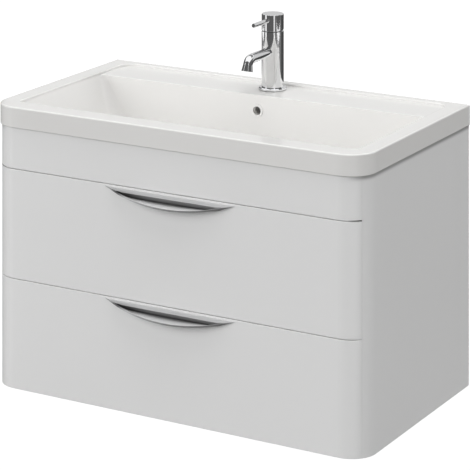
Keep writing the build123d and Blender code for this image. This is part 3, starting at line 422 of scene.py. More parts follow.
class Effects:
    """The shared effects, each built once."""

    def __init__(self) -> None:
        """Build every group."""
        self.spread = self._spread()
        self.tone = self._clouded("Tone", "ShaderNodeTexNoise", "Fac", detail=4.0)
        self.spangle = self._clouded("Spangle", "ShaderNodeTexVoronoi", "Color")
        # painted shade and reflection on the lip handles
        self.hollow = self._hollow(HandleForm(), HollowPaintedLight())
        # painted shadow and shade in the cabinet's seams
        self.seam = self._seam(SeamPaintedShadow())

    @staticmethod
    def _spread() -> bpy.types.NodeTree:
        """Build the group that lets a value wander between two limits.

        Returns:
            The node group.
        """
        effect = Effect("Spread", {name: Effect.VALUE for name in ("Scale", "Low", "High")}, Effect.VALUE)
        span = effect.graph.add("ShaderNodeMapRange")
        span.inputs["From Min"].default_value, span.inputs["From Max"].default_value = Effect.NOISE_SPAN
        effect.graph.join(effect.texture("ShaderNodeTexNoise", "Fac", detail=3.0), span.inputs["Value"])
        effect.graph.join(effect.source["Low"], span.inputs["To Min"])
        effect.graph.join(effect.source["High"], span.inputs["To Max"])
        return effect.close(span.outputs["Result"])

    @staticmethod
    def _clouded(name: str, kind: str, output: str, detail: float = 0.0) -> bpy.types.NodeTree:
        """Build a group that varies a colour between a light and a dark one, in clouds or in zinc crystals.

        Args:
            name: the group's name.
            kind: Blender's name for the texture.
            output: the texture's output to use.
            detail: how many finer layers a noise has.

        Returns:
            The node group.
        """
        effect = Effect(name, Effect.TONES, Effect.COLOUR)
        cloud = effect.texture(kind, output, detail)
        return effect.close(effect.graph.blend("RGBA", cloud, effect.source["Light"], effect.source["Dark"]))

    @staticmethod
    def _hollow(form: HandleForm, shade: HollowPaintedLight) -> bpy.types.NodeTree:
        """Build the group that paints shade on a lip handle inside its finger hollow and under its rim, and paints
        reflection and highlight on its lip and rim.

        Args:
            form: the handle's sizes.
            shade: how bright each place stays.

        Returns:
            The node group.
        """
        effect = Effect("HollowPaintedShadeAndSheen", {"Top": Effect.VALUE}, Effect.VALUE)
        graph = effect.graph
        across, forward, up = effect.place().outputs
        out = graph.sum("SUBTRACT", FRONT_FACE, forward)
        down = graph.sum("SUBTRACT", effect.source["Top"], up)
        arc = graph.sum("SQRT", graph.sum("SUBTRACT", form.radius**2, graph.sum("MULTIPLY", across, across)))
        bow = graph.sum("MULTIPLY_ADD", arc, 1 / form.sag, 1 - form.radius / form.sag)
        reach = graph.sum("MULTIPLY_ADD", bow, form.rim_out, form.recess_depth)
        along = graph.sum("DIVIDE", graph.sum("ADD", out, form.recess_depth), reach)
        fill = graph.sum("MINIMUM", graph.sum("MULTIPLY", bow, form.fill_rate), 1.0)
        low = graph.sum("MULTIPLY_ADD", bow, form.rim_down + form.rim_height, -form.recess_foot)
        rise = graph.sum("MULTIPLY_ADD", fill, -form.rim_height, low)
        below = graph.sum("SUBTRACT", down, graph.sum("MULTIPLY_ADD", rise, along, form.recess_foot))
        # painted shade in the hollow and on the lip, painted reflection on the rim
        lip = graph.sum("MULTIPLY", graph.ramp(along, shade.lip), graph.ramp(across, shade.far_end))
        over = graph.blend("FLOAT", graph.ramp(below, shade.on_lip), graph.ramp(down, shade.wall), lip)
        rim = graph.sum("MULTIPLY", graph.ramp(along, shade.rim_face), graph.ramp(across, shade.edge))
        return effect.close(graph.blend("FLOAT", graph.ramp(below, shade.under_lip), over, rim))

    @staticmethod
    def _seam(shade: SeamPaintedShadow) -> bpy.types.NodeTree:
        """Build the group that paints shadow on the cabinet under the basin at its sides and paints shade at the ends
        of the strip's gap.

        Args:
            shade: how much each place dims.

        Returns:
            The node group.
        """
        effect = Effect("Seam", {}, Effect.VALUE)
        graph = effect.graph
        place = effect.place().outputs
        across = graph.sum("ABSOLUTE", place["X"])
        under = graph.sum("SUBTRACT", CABINET_TOP, place["Z"])
        # painted shadow under the basin, and painted shade where the strip's gap ends
        joint = graph.sum("MULTIPLY", graph.ramp(under, shade.joint), graph.ramp(across, shade.side))
        near = graph.sum("ABSOLUTE", graph.sum("SUBTRACT", place["Z"], STRIP_FOOT))
        gap = graph.sum("MULTIPLY", graph.ramp(near, shade.gap), graph.ramp(across, shade.strip_end))
        return effect.close(graph.sum("SUBTRACT", 1.0, graph.sum("MAXIMUM", joint, gap)))


@dataclass(frozen=True)
class Finish:
    """One surface finish and how it varies.

    Lengths are in metres, so a scale of 100 repeats about every 10 mm.
    """

    slot: Slot
    light: Colour
    dark: Colour
    tone_scale: float
    rough: Pair
    rough_scale: float
    grain_scale: float
    grain_height: float
    metallic: float = 0.0
    specular: float = 0.5
    cloud: Cloud = Cloud.TONE

    def material(self, effects: Effects) -> bpy.types.Material:
        """Draw the finish as a material.

        Args:
            effects: the shared node groups.

        Returns:
            The new material.
        """
        made = bpy.data.materials.new(self.slot.value + "_finish")
        made.use_nodes = True
        graph = Graph(made.node_tree)
        place = graph.add("ShaderNodeTexCoord").outputs["Object"]
        shader = graph.add("ShaderNodeBsdfPrincipled")
        shader.inputs["Metallic"].default_value = self.metallic
        shader.inputs["Specular IOR Level"].default_value = self.specular
        tone = graph.group(getattr(effects, self.cloud.value), place, Scale=self.tone_scale,
                           Light=(*self.light, 1.0), Dark=(*self.dark, 1.0))
        graph.join(self.colour(graph, effects, tone, place), shader.inputs["Base Color"])
        low, high = self.rough
        rough = graph.group(effects.spread, place, Scale=self.rough_scale, Low=low, High=high)
        graph.join(rough, shader.inputs["Roughness"])
        bump = graph.add("ShaderNodeBump")
        bump.inputs["Distance"].default_value = self.grain_height
        grain = graph.group(effects.spread, place, Scale=self.grain_scale, Low=0.0, High=1.0)
        graph.join(grain, bump.inputs["Height"])
        graph.join(bump.outputs["Normal"], shader.inputs["Normal"])
        graph.surface(shader.outputs["BSDF"])
        return made

    def colour(self, graph: Graph, effects: Effects, tone: Socket, place: Socket) -> Socket:
        """Leave the clouded colour as it is."""
        return tone


@dataclass(frozen=True)
class PaintedShadeFinish(Finish):
    """Finish with shade painted into its colour: a painted shadow under the basin and painted shade at the ends of the
    strip's gap.
    """

    def shade(self, graph: Graph, effects: Effects, place: Socket) -> Socket:
        """Place the group that paints shadow and shade into the cabinet's seams."""
        return graph.group(effects.seam, place)

    def colour(self, graph: Graph, effects: Effects, tone: Socket, place: Socket) -> Socket:
        """Darken the clouded colour by the painted shade.

        Args:
            graph: the tree to work in.
            effects: the shared node groups.
            tone: the clouded colour.
            place: the point on the piece.

        Returns:
            The colour to use.
        """
        mix = graph.add("ShaderNodeMix", data_type="RGBA", blend_type="MULTIPLY")
        mix.inputs["Factor"].default_value = 1.0
        graph.join(tone, mix.inputs["A"])
        graph.join(self.shade(graph, effects, place), mix.inputs["B"])
        return mix.outputs["Result"]


@dataclass(frozen=True)
class HandleFinish(PaintedShadeFinish):
    """Satin metal of a lip handle, with shade painted inside its hollow and reflection painted on its lip and rim."""

    top: float = 0.0

    def shade(self, graph: Graph, effects: Effects, place: Socket) -> Socket:
        """Place the group that paints shade and reflection on a handle with its top edge at this height."""
        return graph.group(effects.hollow, place, Top=self.top)


FINISHES: List[Finish] = [
    # the lacquer carries the painted seam shadow
    PaintedShadeFinish(Slot.LACQUER, light=(0.88, 0.88, 0.877), dark=(0.865, 0.865, 0.862), tone_scale=7.0,
                 rough=(0.30, 0.38), rough_scale=30.0, grain_scale=900.0, grain_height=0.00002),
    Finish(Slot.BOARD, light=(0.72, 0.715, 0.70), dark=(0.66, 0.655, 0.64), tone_scale=260.0,
           rough=(0.42, 0.55), rough_scale=120.0, grain_scale=1400.0, grain_height=0.00004),
    Finish(Slot.CERAMIC, light=(0.848, 0.841, 0.826), dark=(0.833, 0.826, 0.811), tone_scale=5.0,
           rough=(0.06, 0.11), rough_scale=12.0, grain_scale=40.0, grain_height=0.00003, specular=0.35),
    Finish(Slot.CHROME, light=(0.965, 0.97, 0.98), dark=(0.935, 0.94, 0.95), tone_scale=25.0,
           rough=(0.03, 0.06), rough_scale=60.0, grain_scale=300.0, grain_height=0.000003, metallic=1.0),
    Finish(Slot.STEEL, light=(0.62, 0.63, 0.645), dark=(0.50, 0.51, 0.525), tone_scale=160.0,
           rough=(0.28, 0.42), rough_scale=220.0, grain_scale=900.0, grain_height=0.00002, metallic=1.0,
           cloud=Cloud.SPANGLE),
    Finish(Slot.DRAWER_STEEL, light=(0.62, 0.63, 0.645), dark=(0.58, 0.59, 0.605), tone_scale=40.0,
           rough=(0.36, 0.46), rough_scale=80.0, grain_scale=1600.0, grain_height=0.00004),
    Finish(Slot.PLASTIC, light=(0.66, 0.66, 0.65), dark=(0.62, 0.62, 0.61), tone_scale=30.0,
           rough=(0.45, 0.58), rough_scale=90.0, grain_scale=1800.0, grain_height=0.00004),
    Finish(Slot.RUBBER, light=(0.020, 0.020, 0.021), dark=(0.012, 0.012, 0.012), tone_scale=90.0,
           rough=(0.62, 0.78), rough_scale=120.0, grain_scale=1500.0, grain_height=0.00004),
    Finish(Slot.BRASS, light=(0.72, 0.52, 0.22), dark=(0.60, 0.41, 0.16), tone_scale=70.0,
           rough=(0.16, 0.30), rough_scale=160.0, grain_scale=700.0, grain_height=0.00002, metallic=1.0),
]
HANDLE_FINISHES: Dict[str, Finish] = {
    level: HandleFinish(Slot.SATIN_CHROME, light=(0.74, 0.74, 0.745), dark=(0.70, 0.70, 0.705), tone_scale=25.0,
                        rough=(0.36, 0.44), rough_scale=60.0, grain_scale=500.0, grain_height=0.000004,
                        metallic=0.25, top=top)
    for level, top in HANDLE_TOPS.items()
}


class Wardrobe:
    """Every finish as a material, ready to put on pieces."""

    def __init__(self) -> None:
        """Draw all the finishes."""
        effects = Effects()
        self.materials = {finish.slot: finish.material(effects) for finish in FINISHES}
        self.handles = {level: finish.material(effects) for level, finish in HANDLE_FINISHES.items()}

    def material(self, slot: Slot, name: str) -> bpy.types.Material:
        """Find the material of a finish; each handle has its own, named for its drawer.

        Args:
            slot: the finish.
            name: the piece that wears it.

        Returns:
            The material.
        """
        if slot is Slot.SATIN_CHROME:
            return self.handles[name.split("_")[0]]
        return self.materials[slot]

    def put_on(self, piece: bpy.types.Object, slot: Slot) -> None:
        """Give a new piece one finish."""
        piece.data.materials.append(self.material(slot, piece.name))

    def dress(self, node: bpy.types.Object) -> None:
        """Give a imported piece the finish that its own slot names."""
        for held in node.material_slots:
            held.material = self.material(Slot(held.material.name.split(".")[0]), node.name)


class Shape:
    """Mesh under construction, in metres."""

    SHARP_DEG = 35.0

    def __init__(self) -> None:
        """Start with nothing."""
        self.mesh = bmesh.new()

    def drum(self, radius: float, low: float, high: float, sides: int = 48) -> None:
        """Add a closed round bar that stands between two heights.

        Args:
            radius: the bar's radius.
            low: height of its lower end.
            high: height of its upper end.
            sides: how many flats go round it.
        """
        stand = Matrix.Translation((0.0, 0.0, (low + high) / 2))
        bmesh.ops.create_cone(self.mesh, cap_ends=True, segments=sides, radius1=radius, radius2=radius,
                              depth=high - low, matrix=stand)

    def strip(self, length: float, width: float, height: float, shift: Point, turn_deg: float = 0.0) -> None:
        """Add a flat strip, shifted and then turned about the upright axis.

        Args:
            length: its length.
            width: its width.
            height: its thickness.
            shift: where its middle lies before it is turned.
            turn_deg: how far it is turned.
        """
        turn = Matrix.Rotation(math.radians(turn_deg), 4, "Z")
        size = Matrix.Diagonal((length, width, height, 1.0))
        bmesh.ops.create_cube(self.mesh, size=1.0, matrix=turn @ Matrix.Translation(shift) @ size)

    def thread(self, radius: float, span: Pair, pitch: float, ridge: float) -> None:
        """Wind a screw thread round the upright axis.

        Args:
            radius: radius of the bar under the thread.
            span: heights where the thread starts and ends.
            pitch: rise in one turn.
            ridge: how far the crest stands out.
        """
        low, high = span
        steps, root, crest = 40, 0.42, 0.08
        turns = int((high - low) / pitch) - 1
        outline = [(-ridge / 2, -root), (ridge, -crest), (ridge, crest), (-ridge / 2, root)]
        corners = [self.mesh.verts.new((radius + out, 0.0, low + pitch * (0.5 + up))) for out, up in outline]
        bmesh.ops.spin(self.mesh, geom=corners + self._ring(corners), cent=(0.0, 0.0, 0.0), axis=(0.0, 0.0, 1.0),
                       dvec=(0.0, 0.0, pitch / steps), angle=2 * math.pi * turns, steps=steps * turns)
        self._close()

    def cross_head(self, radius: float, height: float, slot: float, rounding: float = 0.45, sink: float = 0.6) -> None:
        """Add a screw head on the level plane, rounded at the top, with a cross sunk into it.

        Args:
            radius: radius of the head.
            height: height of the head.
            slot: width of the cross; its arms reach three widths from end to end.
            rounding: share of the height that is rounded.
            sink: share of the height that the cross is sunk.
        """
        half = slot / 2
        arm = 3 * half
        quarter = [(arm, -half), (arm, half), (half, half)]
        cross = []
        for step in range(4):
            turn = Matrix.Rotation(math.radians(90 * step), 2)
            cross += [turn @ Vector(point) for point in quarter]
        inner = [self.mesh.verts.new((x, y, height)) for x, y in cross]
        bmesh.ops.subdivide_edges(self.mesh, edges=self._ring(inner), cuts=2)
        inner_edges = list(self.mesh.edges)
        bmesh.ops.create_circle(self.mesh, segments=len(inner_edges), radius=radius,
                                matrix=Matrix.Translation((0.0, 0.0, height)))
        rim_edges = [edge for edge in self.mesh.edges if edge not in set(inner_edges)]
        bmesh.ops.bridge_loops(self.mesh, edges=inner_edges + rim_edges)
        side = bmesh.ops.extrude_edge_only(self.mesh, edges=rim_edges)["geom"]
        bmesh.ops.translate(self.mesh, vec=(0.0, 0.0, -height), verts=self._verts(side))
        bmesh.ops.bevel(self.mesh, geom=rim_edges, offset=height * rounding, segments=4, profile=0.5, affect="EDGES",
                        material=-1)
        sunk = bmesh.ops.extrude_edge_only(self.mesh, edges=inner_edges)["geom"]
        bmesh.ops.translate(self.mesh, vec=(0.0, 0.0, -height * sink), verts=self._verts(sunk))
        self._close()

    def loft(self, sections: Sequence[Sequence[Point]], rounded: Sequence[int] = (), edge_round: float = 0.0,
             sharp_ends: int = 0) -> None:
        """Join sections with the same number of corners into one closed body.

        Args:
            sections: the corners of each section, in order along the body.
            rounded: which corners run along the body as rounded edges.
            edge_round: size of that rounding.
            sharp_ends: how many sections at each end keep their edges sharp.
        """
        rows = [[self.mesh.verts.new(corner) for corner in section] for section in sections]
        rings = [self._ring(row) for row in rows]
        for ring, following in zip(rings, rings[1:]):
            bmesh.ops.bridge_loops(self.mesh, edges=ring + following)
        bmesh.ops.holes_fill(self.mesh, edges=rings[0] + rings[-1])
        middle = rows[sharp_ends : len(rows) - sharp_ends]
        edges = [self.mesh.edges.get((row[i], after[i])) for row, after in zip(middle, middle[1:]) for i in rounded]
        if edges:
            bmesh.ops.bevel(self.mesh, geom=edges, offset=edge_round, segments=2, profile=0.5, affect="EDGES",
                            clamp_overlap=True, material=-1)

    def _ring(self, corners: List[bmesh.types.BMVert]) -> List[bmesh.types.BMEdge]:
        """Join corners into a closed loop of edges."""
        return [self.mesh.edges.new((corners[i - 1], corners[i])) for i in range(len(corners))]

    def _close(self) -> None:
        """Fill every open loop."""
        bmesh.ops.holes_fill(self.mesh, edges=[edge for edge in self.mesh.edges if edge.is_boundary])

    @staticmethod
    def _verts(geom: Iterable) -> List[bmesh.types.BMVert]:
        """Pick the corners out of an operator's result."""
        return [item for item in geom if isinstance(item, bmesh.types.BMVert)]

    def copies(self, places: Sequence[Matrix]) -> None:
        """Repeat everything made so far at several places.

        Args:
            places: where each copy goes; the shape itself is left only at these places.
        """
        first = list(self.mesh.verts) + list(self.mesh.edges) + list(self.mesh.faces)
        made = [first]
        for _ in places[1:]:
            made.append(bmesh.ops.duplicate(self.mesh, geom=first)["geom"])
        for geom, place in zip(made, places):
            bmesh.ops.transform(self.mesh, matrix=place, verts=self._verts(geom))

    def piece(self, name: str, body: str, slot: Slot, wardrobe: Wardrobe) -> bpy.types.Object:
        """Turn the shape into a finished piece of the object.

        Args:
            name: the piece's name.
            body: the body it moves with.
            slot: its finish.
            wardrobe: the finishes.

        Returns:
            The new piece.
        """
        bmesh.ops.recalc_face_normals(self.mesh, faces=list(self.mesh.faces))
        data = bpy.data.meshes.new(name)
        self.mesh.to_mesh(data)
        self.mesh.free()
        data.set_sharp_from_angle(angle=math.radians(self.SHARP_DEG))
        made = bpy.data.objects.new(name, data)
        bpy.context.scene.collection.objects.link(made)
        wardrobe.put_on(made, slot)
        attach(made, body)
        LOG.info("built %s on %s", name, body)
        return made


def facing(axis: str, turn_deg: float, place: Point) -> Matrix:
    """Turn about an axis and then move to a place, in one."""
    return Matrix.Translation(place) @ Matrix.Rotation(math.radians(turn_deg), 4, axis)


class Assembly:
    """Sub-assembly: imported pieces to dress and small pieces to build."""

    def nodes(self) -> List[str]:
        """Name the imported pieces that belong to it."""
        raise NotImplementedError

    def dress(self, wardrobe: Wardrobe) -> None:
        """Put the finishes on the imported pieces.

        Args:
            wardrobe: the finishes.
        """
        for name in self.nodes():
            wardrobe.dress(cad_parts[name])
            LOG.info("dressed %s", name)

    def build(self, wardrobe: Wardrobe) -> None:
        """Build the small pieces."""
        raise NotImplementedError


@dataclass(frozen=True)
class CrossScrew:
    """Pan-head screw with a cross recess, as sizes in metres."""

    head_radius: float = 0.004
    head_height: float = 0.002
    slot: float = 0.0011
    shank_radius: float = 0.002
    shank_length: float = 0.0

    def shape(self, places: Sequence[Matrix]) -> Shape:
        """Model screws that stand on their heads' undersides, shank downwards, before they are placed.

        Args:
            places: where each screw goes.

        Returns:
            The screws as one shape.
        """
        made = Shape()
        made.cross_head(self.head_radius, self.head_height, self.slot)
        if self.shank_length:
            made.drum(self.shank_radius, -self.shank_length, 0.0, sides=24)
        made.copies(places)
        return made


@dataclass(frozen=True)
class Carcass(Assembly):
    """Panels and rails of the cabinet with their cam fittings."""

    floor_width: float = 0.764
    floor_thickness: float = 0.018
    floor_front: float = -0.4315
    edging: float = 0.0003
    bolt_radius: float = 0.003
    bolt_span: Pair = (0.3655, 0.3924)
    floor_bolts: Tuple[Pair, ...] = ((-0.362, 0.009), (-0.060, 0.009))
    rail_bolts: Tuple[Pair, ...] = ((-0.423, 0.4501), (-0.025, 0.428), (-0.009, 0.058))
    corner_radius: float = 0.050
    corner_middle: Pair = (0.350, -0.400)
    filler_arc_deg: Pair = (29.0, 33.0)
    filler_heights: Pair = (0.4476, 0.4526)
    filler_depth: float = 0.0002
    filler_skin: float = 0.00003
    filler_steps: int = 8

    def nodes(self) -> List[str]:
        """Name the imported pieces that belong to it."""
        boards = ["bottom_panel", "fascia_panel", "front_top_rail", "upper_back_rail", "lower_back_rail"]
        return [f"{side}_side_panel" for side in SIDES] + boards + ["cam_locks", "cam_bolts"]

    def build(self, wardrobe: Wardrobe) -> None:
        """Glue the edging on the cabinet's floor, fit the cam bolts and fill the panels over their ends.

        Args:
            wardrobe: the finishes.
        """
        strip = Shape()
        middle = (0.0, self.floor_front - self.edging / 2, self.floor_thickness / 2)
        strip.strip(self.floor_width, self.edging, self.floor_thickness, middle)
        strip.piece("floor_edging", "cabinet", Slot.LACQUER, wardrobe)
        bolts = Shape()
        bolts.drum(self.bolt_radius, *self.bolt_span, sides=32)
        places = self.floor_bolts + self.rail_bolts
        bolts.copies([facing("Y", 90 * side, (0.0, *place)) for side in SIGNS for place in places])
        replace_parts(bolts.piece("fitted_cam_bolts", "cabinet", Slot.STEEL, wardrobe), "cam_bolts")
        filler = Shape()
        for side in SIGNS:
            filler.loft(self._filler(side))
        filler.piece("corner_filler", "cabinet", Slot.LACQUER, wardrobe)

    def _filler(self, side: int) -> List[List[Point]]:
        """Draw the filler that closes a rounded corner over the end of its cam bolt.

        Args:
            side: -1 for the left corner, 1 for the right one.

        Returns:
            The corners of each section, round the corner.
        """
        low, high = self.filler_heights
        inner, outer = self.corner_radius - self.filler_depth, self.corner_radius + self.filler_skin
        start, end = self.filler_arc_deg
        rows = []
        for step in range(self.filler_steps + 1):
            turn = math.radians(start + (end - start) * step / self.filler_steps)
            row = []
            for reach, height in ((inner, low), (outer, low), (outer, high), (inner, high)):
                across = side * (self.corner_middle[0] + reach * math.cos(turn))
                row.append((across, self.corner_middle[1] - reach * math.sin(turn), height))
            rows.append(row)
        return rows


@dataclass(frozen=True)
class Hanging(Assembly):
    """Concealed hangers, their hooks and the wall plates."""

    adjuster: CrossScrew = CrossScrew(head_radius=0.0032, head_height=0.0022)
    adjuster_x: float = 0.374
    bore_end: float = -0.090
    adjuster_heights: Pair = (0.444, 0.466)

    def nodes(self) -> List[str]:
        """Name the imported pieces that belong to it."""
        return [f"{side}_{part}" for side in SIDES for part in ("hanger", "wall_plate")] + ["hanger_hooks"]

    def build(self, wardrobe: Wardrobe) -> None:
        """Seat an adjuster screw in each bore of the hangers.

        Args:
            wardrobe: the finishes.
        """
        spots = [(side * self.adjuster_x, height) for side in SIGNS for height in self.adjuster_heights]
        screws = self.adjuster.shape([facing("X", 90, (across, self.bore_end, height)) for across, height in spots])
        screws.piece("hanger_adjusters", "cabinet", Slot.STEEL, wardrobe)


@dataclass(frozen=True)
class Runners(Assembly):
    """Telescopic runners of both drawers and their screws."""

    screw: CrossScrew = CrossScrew(shank_length=0.0135)
    rail_face: float = 0.3805
    screw_depths: Pair = (-0.391, -0.115)
    screw_heights: Pair = (0.051, 0.247)

    def nodes(self) -> List[str]:
        """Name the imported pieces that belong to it."""
        rails = [f"{side}_{level}_{rail}_rail" for side in SIDES for level in LEVELS for rail in ("cabinet", "middle")]
        return rails + ["runner_screws"]

    def build(self, wardrobe: Wardrobe) -> None:
        """Screw the cabinet rails to the side panels.

        Args:
            wardrobe: the finishes.
        """
        spots = [(depth, height) for depth in self.screw_depths for height in self.screw_heights]
        places = [facing("Y", -90 * side, (side * self.rail_face, *spot)) for side in SIGNS for spot in spots]
        made = self.screw.shape(places).piece("cross_runner_screws", "cabinet", Slot.STEEL, wardrobe)
        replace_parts(made, "runner_screws")


@dataclass(frozen=True)
class Drawer(Assembly):
    """One drawer: front, handle, steel sides, bottom and back."""

    level: str
    front_back: float = -0.432
    screw: CrossScrew = CrossScrew(head_height=0.0024, shank_length=0.003)
    handle: HandleForm = HandleForm()
    handle_steps: int = 72
    handle_reach: float = 0.998
    rounded_corners: Tuple[int, ...] = (1, 2, 4, 5, 6)
    sharp_tip: int = 7

    def nodes(self) -> List[str]:
        """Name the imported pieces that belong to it.

        Returns:
            The names of the nodes.
        """
        parts = ["drawer_front", "handle", "handle_screws", "front_brackets", "drawer_bottom"]
        names = [f"{self.level}_{part}" for part in parts]
        names += [f"{side}_{self.level}_drawer_side" for side in SIDES]
        if self.level == LEVELS[0]:
            return names + ["cutout_surround"] + [f"{side}_upper_drawer_back" for side in SIDES]
        return names + ["lower_drawer_back"]

    def build(self, wardrobe: Wardrobe) -> None:
        """Form the handle, with a lip whose rim rises to the tips, close the front round it and screw it on.

        Args:
            wardrobe: the finishes.
        """
        form, body = self.handle, f"{self.level}_drawer"
        handle = Shape()
        handle.drum(form.boss_radius, 0.0, form.boss_length)
        handle.copies(self._screw_places(FRONT_FACE + form.recess_depth + form.wall))
        handle.loft(self._sections(form.section), self.rounded_corners, form.edge_round, self.sharp_tip)
        made = handle.piece(f"{self.level}_formed_handle", body, Slot.SATIN_CHROME, wardrobe)
        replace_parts(made, f"{self.level}_handle")
        collar = Shape()
        collar.loft(self._sections(form.collar))
        collar.piece(f"{self.level}_pocket_collar", body, Slot.LACQUER, wardrobe)
        screws = self.screw.shape(self._screw_places(self.front_back))
        made = screws.piece(f"{self.level}_cross_handle_screws", body, Slot.STEEL, wardrobe)
        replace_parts(made, f"{self.level}_handle_screws")

    def _screw_places(self, depth: float) -> List[Matrix]:
        """Turn towards the drawer's inside at the handle's two screws, at one depth."""
        half, height = self.handle.boss_spacing / 2, HANDLE_TOPS[self.level] - self.handle.boss_down
        return [facing("X", -90, (side * half, depth, height)) for side in SIGNS]

    def _sections(self, draw: Callable[[float], List[Pair]]) -> List[List[Point]]:
        """Set a row of sections along the handle, closer together towards its tips.

        Args:
            draw: gives the section's corners at a place along the handle.

        Returns:
            The corners of each section.
        """
        top = HANDLE_TOPS[self.level]
        half = self.handle.length / 2 * self.handle_reach
        rows = []
        for step in range(self.handle_steps + 1):
            across = -half * math.cos(math.pi * step / self.handle_steps)
            rows.append([(across, FRONT_FACE - out, top - down) for out, down in draw(across)])
        return rows


@dataclass(frozen=True)
class Basin(Assembly):
    """Ceramic basin and its waste, with lift-up plug, seals and back nut."""

    waste_place: Point = (0.0, -0.215, 0.0)
    tail_radius: float = 0.02095
    tail_span: Pair = (0.3462, 0.3846)
    pitch: float = 0.002309
    ridge: float = 0.0003

    def nodes(self) -> List[str]:
        """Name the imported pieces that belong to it."""
        return ["basin"] + [f"waste_{part}" for part in ("body", "plug", "seal", "washer", "nut")]

    def build(self, wardrobe: Wardrobe) -> None:
        """Cut the thread of the waste's tail.

        Args:
            wardrobe: the finishes.
        """
        made = Shape()
        made.thread(self.tail_radius, self.tail_span, self.pitch, self.ridge)
        made.copies([Matrix.Translation(self.waste_place)])
        made.piece("waste_thread", "cabinet", Slot.CHROME, wardrobe)


@dataclass(frozen=True)
class Tap(Assembly):
    """Lever tap with its cartridge, spout and fixing."""

    stud_place: Point = (0.0, -0.046, 0.0)
    stud_radius: float = 0.004
    stud_span: Pair = (0.4755, 0.5118)
    stud_pitch: float = 0.00125
    stud_ridge: float = 0.0002
    outlet_place: Point = (0.0, -0.15877, 0.5905)
    outlet_deg: float = 75.0
    screen_radius: float = 0.0064
    screen_bars: int = 7
    bar_width: float = 0.0005
    bar_height: float = 0.0005

    def nodes(self) -> List[str]:
        """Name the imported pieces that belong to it."""
        parts = ["gasket", "body", "spout", "aerator", "cartridge", "rotor", "stud", "clamp_washer", "stud_nut"]
        return [f"tap_{part}" for part in parts] + ["cartridge_nut", "lever_cap", "lever_pin"]

    def build(self, wardrobe: Wardrobe) -> None:
        """Cut the stud's thread and lay the screen of the aerator.

        Args:
            wardrobe: the finishes.
        """
        thread = Shape()
        thread.thread(self.stud_radius, self.stud_span, self.stud_pitch, self.stud_ridge)
        thread.copies([Matrix.Translation(self.stud_place)])
        thread.piece("stud_thread", "cabinet", Slot.STEEL, wardrobe)
        screen = Shape()
        gap = 2 * self.screen_radius / self.screen_bars
        for step in range(self.screen_bars):
            shift = (step - (self.screen_bars - 1) / 2) * gap
            length = 2 * math.sqrt(self.screen_radius**2 - shift**2)
            for turn in (0.0, 90.0):
                screen.strip(length, self.bar_width, self.bar_height, (0.0, shift, 0.0), turn)
        screen.copies([facing("X", 90.0 + self.outlet_deg, self.outlet_place)])
        screen.piece("aerator_screen", "cabinet", Slot.STEEL, wardrobe)


@dataclass(frozen=True)
class ViewCamera:
    """Camera that keeps upright edges upright, as the photograph does.

    The picture plane stands upright while the lens looks down on the cabinet, so the camera hangs on a holder
    whose axes are not square to each other.
    """

    focal_px: float = 2417.16
    horizon_px: float = -466.83
    frame_px: float = 470.0
    turn_deg: float = 29.865
    place: Point = (2.32419, -4.25393, 1.63815)
    sensor_mm: float = 36.0
    far_end: float = 100.0

    def build(self) -> None:
        """Make the camera and its holder."""
        turn = math.radians(self.turn_deg)
        fall = (self.horizon_px - self.frame_px / 2) / self.focal_px
        right = Vector((math.cos(turn), math.sin(turn), 0.0))
        ahead = Vector((-math.sin(turn), math.cos(turn), fall))
        axes = Matrix((right, Vector((0.0, 0.0, 1.0)), -ahead.normalized())).transposed()
        data = bpy.data.cameras.new("view_camera")
        data.sensor_width = self.sensor_mm
        data.lens = self.sensor_mm * self.focal_px * ahead.length / self.frame_px
        data.clip_end = self.far_end
        camera = bpy.data.objects.new("view_camera", data)
        holder = bpy.data.objects.new("camera_holder", None)
        for item in (camera, holder):
            bpy.context.scene.collection.objects.link(item)
        camera.parent = holder
        camera.matrix_parent_inverse = Matrix.Translation(self.place) @ axes.to_4x4()
        bpy.context.scene.camera = camera


@dataclass(frozen=True)
class Lamp:
    """Wide soft light from far away in one direction."""

    name: str
    towards: Point
    spread_deg: float
    strength: float

    def build(self) -> None:
        """Hang the lamp."""
        data = bpy.data.lights.new(self.name, "SUN")
        data.angle = math.radians(self.spread_deg)
        data.energy = self.strength
        lamp = bpy.data.objects.new(self.name, data)
        lamp.rotation_mode = "QUATERNION"
        lamp.rotation_quaternion = (-Vector(self.towards)).to_track_quat("-Z", "Y")
        lamp.visible_glossy = False
        bpy.context.scene.collection.objects.link(lamp)


def lay_plane(name: str, width: float, depth: float, place: Matrix) -> Tuple[bpy.types.Object, Graph]:
    """Lay a flat piece of the studio, with an empty material.

    Args:
        name: its name.
        width: its width.
        depth: its depth.
        place: where it goes.

    Returns:
        The plane and the tree of its material.
    """
    mesh = bpy.data.meshes.new(name)
    shape = bmesh.new()
    size = Matrix.Diagonal((width, depth, 1.0, 1.0))
    bmesh.ops.create_grid(shape, x_segments=1, y_segments=1, size=0.5, matrix=place @ size)
    shape.to_mesh(mesh)
    shape.free()
    plane = bpy.data.objects.new(name, mesh)
    bpy.context.scene.collection.objects.link(plane)
    made = bpy.data.materials.new(name)
    made.use_nodes = True
    mesh.materials.append(made)
    return plane, Graph(made.node_tree)


@dataclass(frozen=True)
class Card:
    """Card that only shiny pieces see, upright or leaning over the cabinet."""

    name: str
    grey: float
    width: float
    low: float
    high: float
    turn_deg: float = 0.0
    distance: float = 0.0
    lean_deg: float = 0.0

    def build(self, centre: Point) -> None:
        """Stand the card round a point.

        Args:
            centre: the point it faces.
        """
        turned = facing("Z", self.turn_deg, (centre[0], centre[1], 0.0))
        stood = facing("X", 90 - self.lean_deg, (0.0, self.distance, (self.low + self.high) / 2))
        card, graph = lay_plane(self.name, self.width, self.high - self.low, turned @ stood)
        glow = graph.add("ShaderNodeEmission")
        glow.inputs["Color"].default_value = (self.grey, self.grey, self.grey, 1.0)
        graph.surface(glow.outputs["Emission"])
        for ray in ("camera", "diffuse", "shadow", "transmission", "volume_scatter"):
            setattr(card, f"visible_{ray}", False)


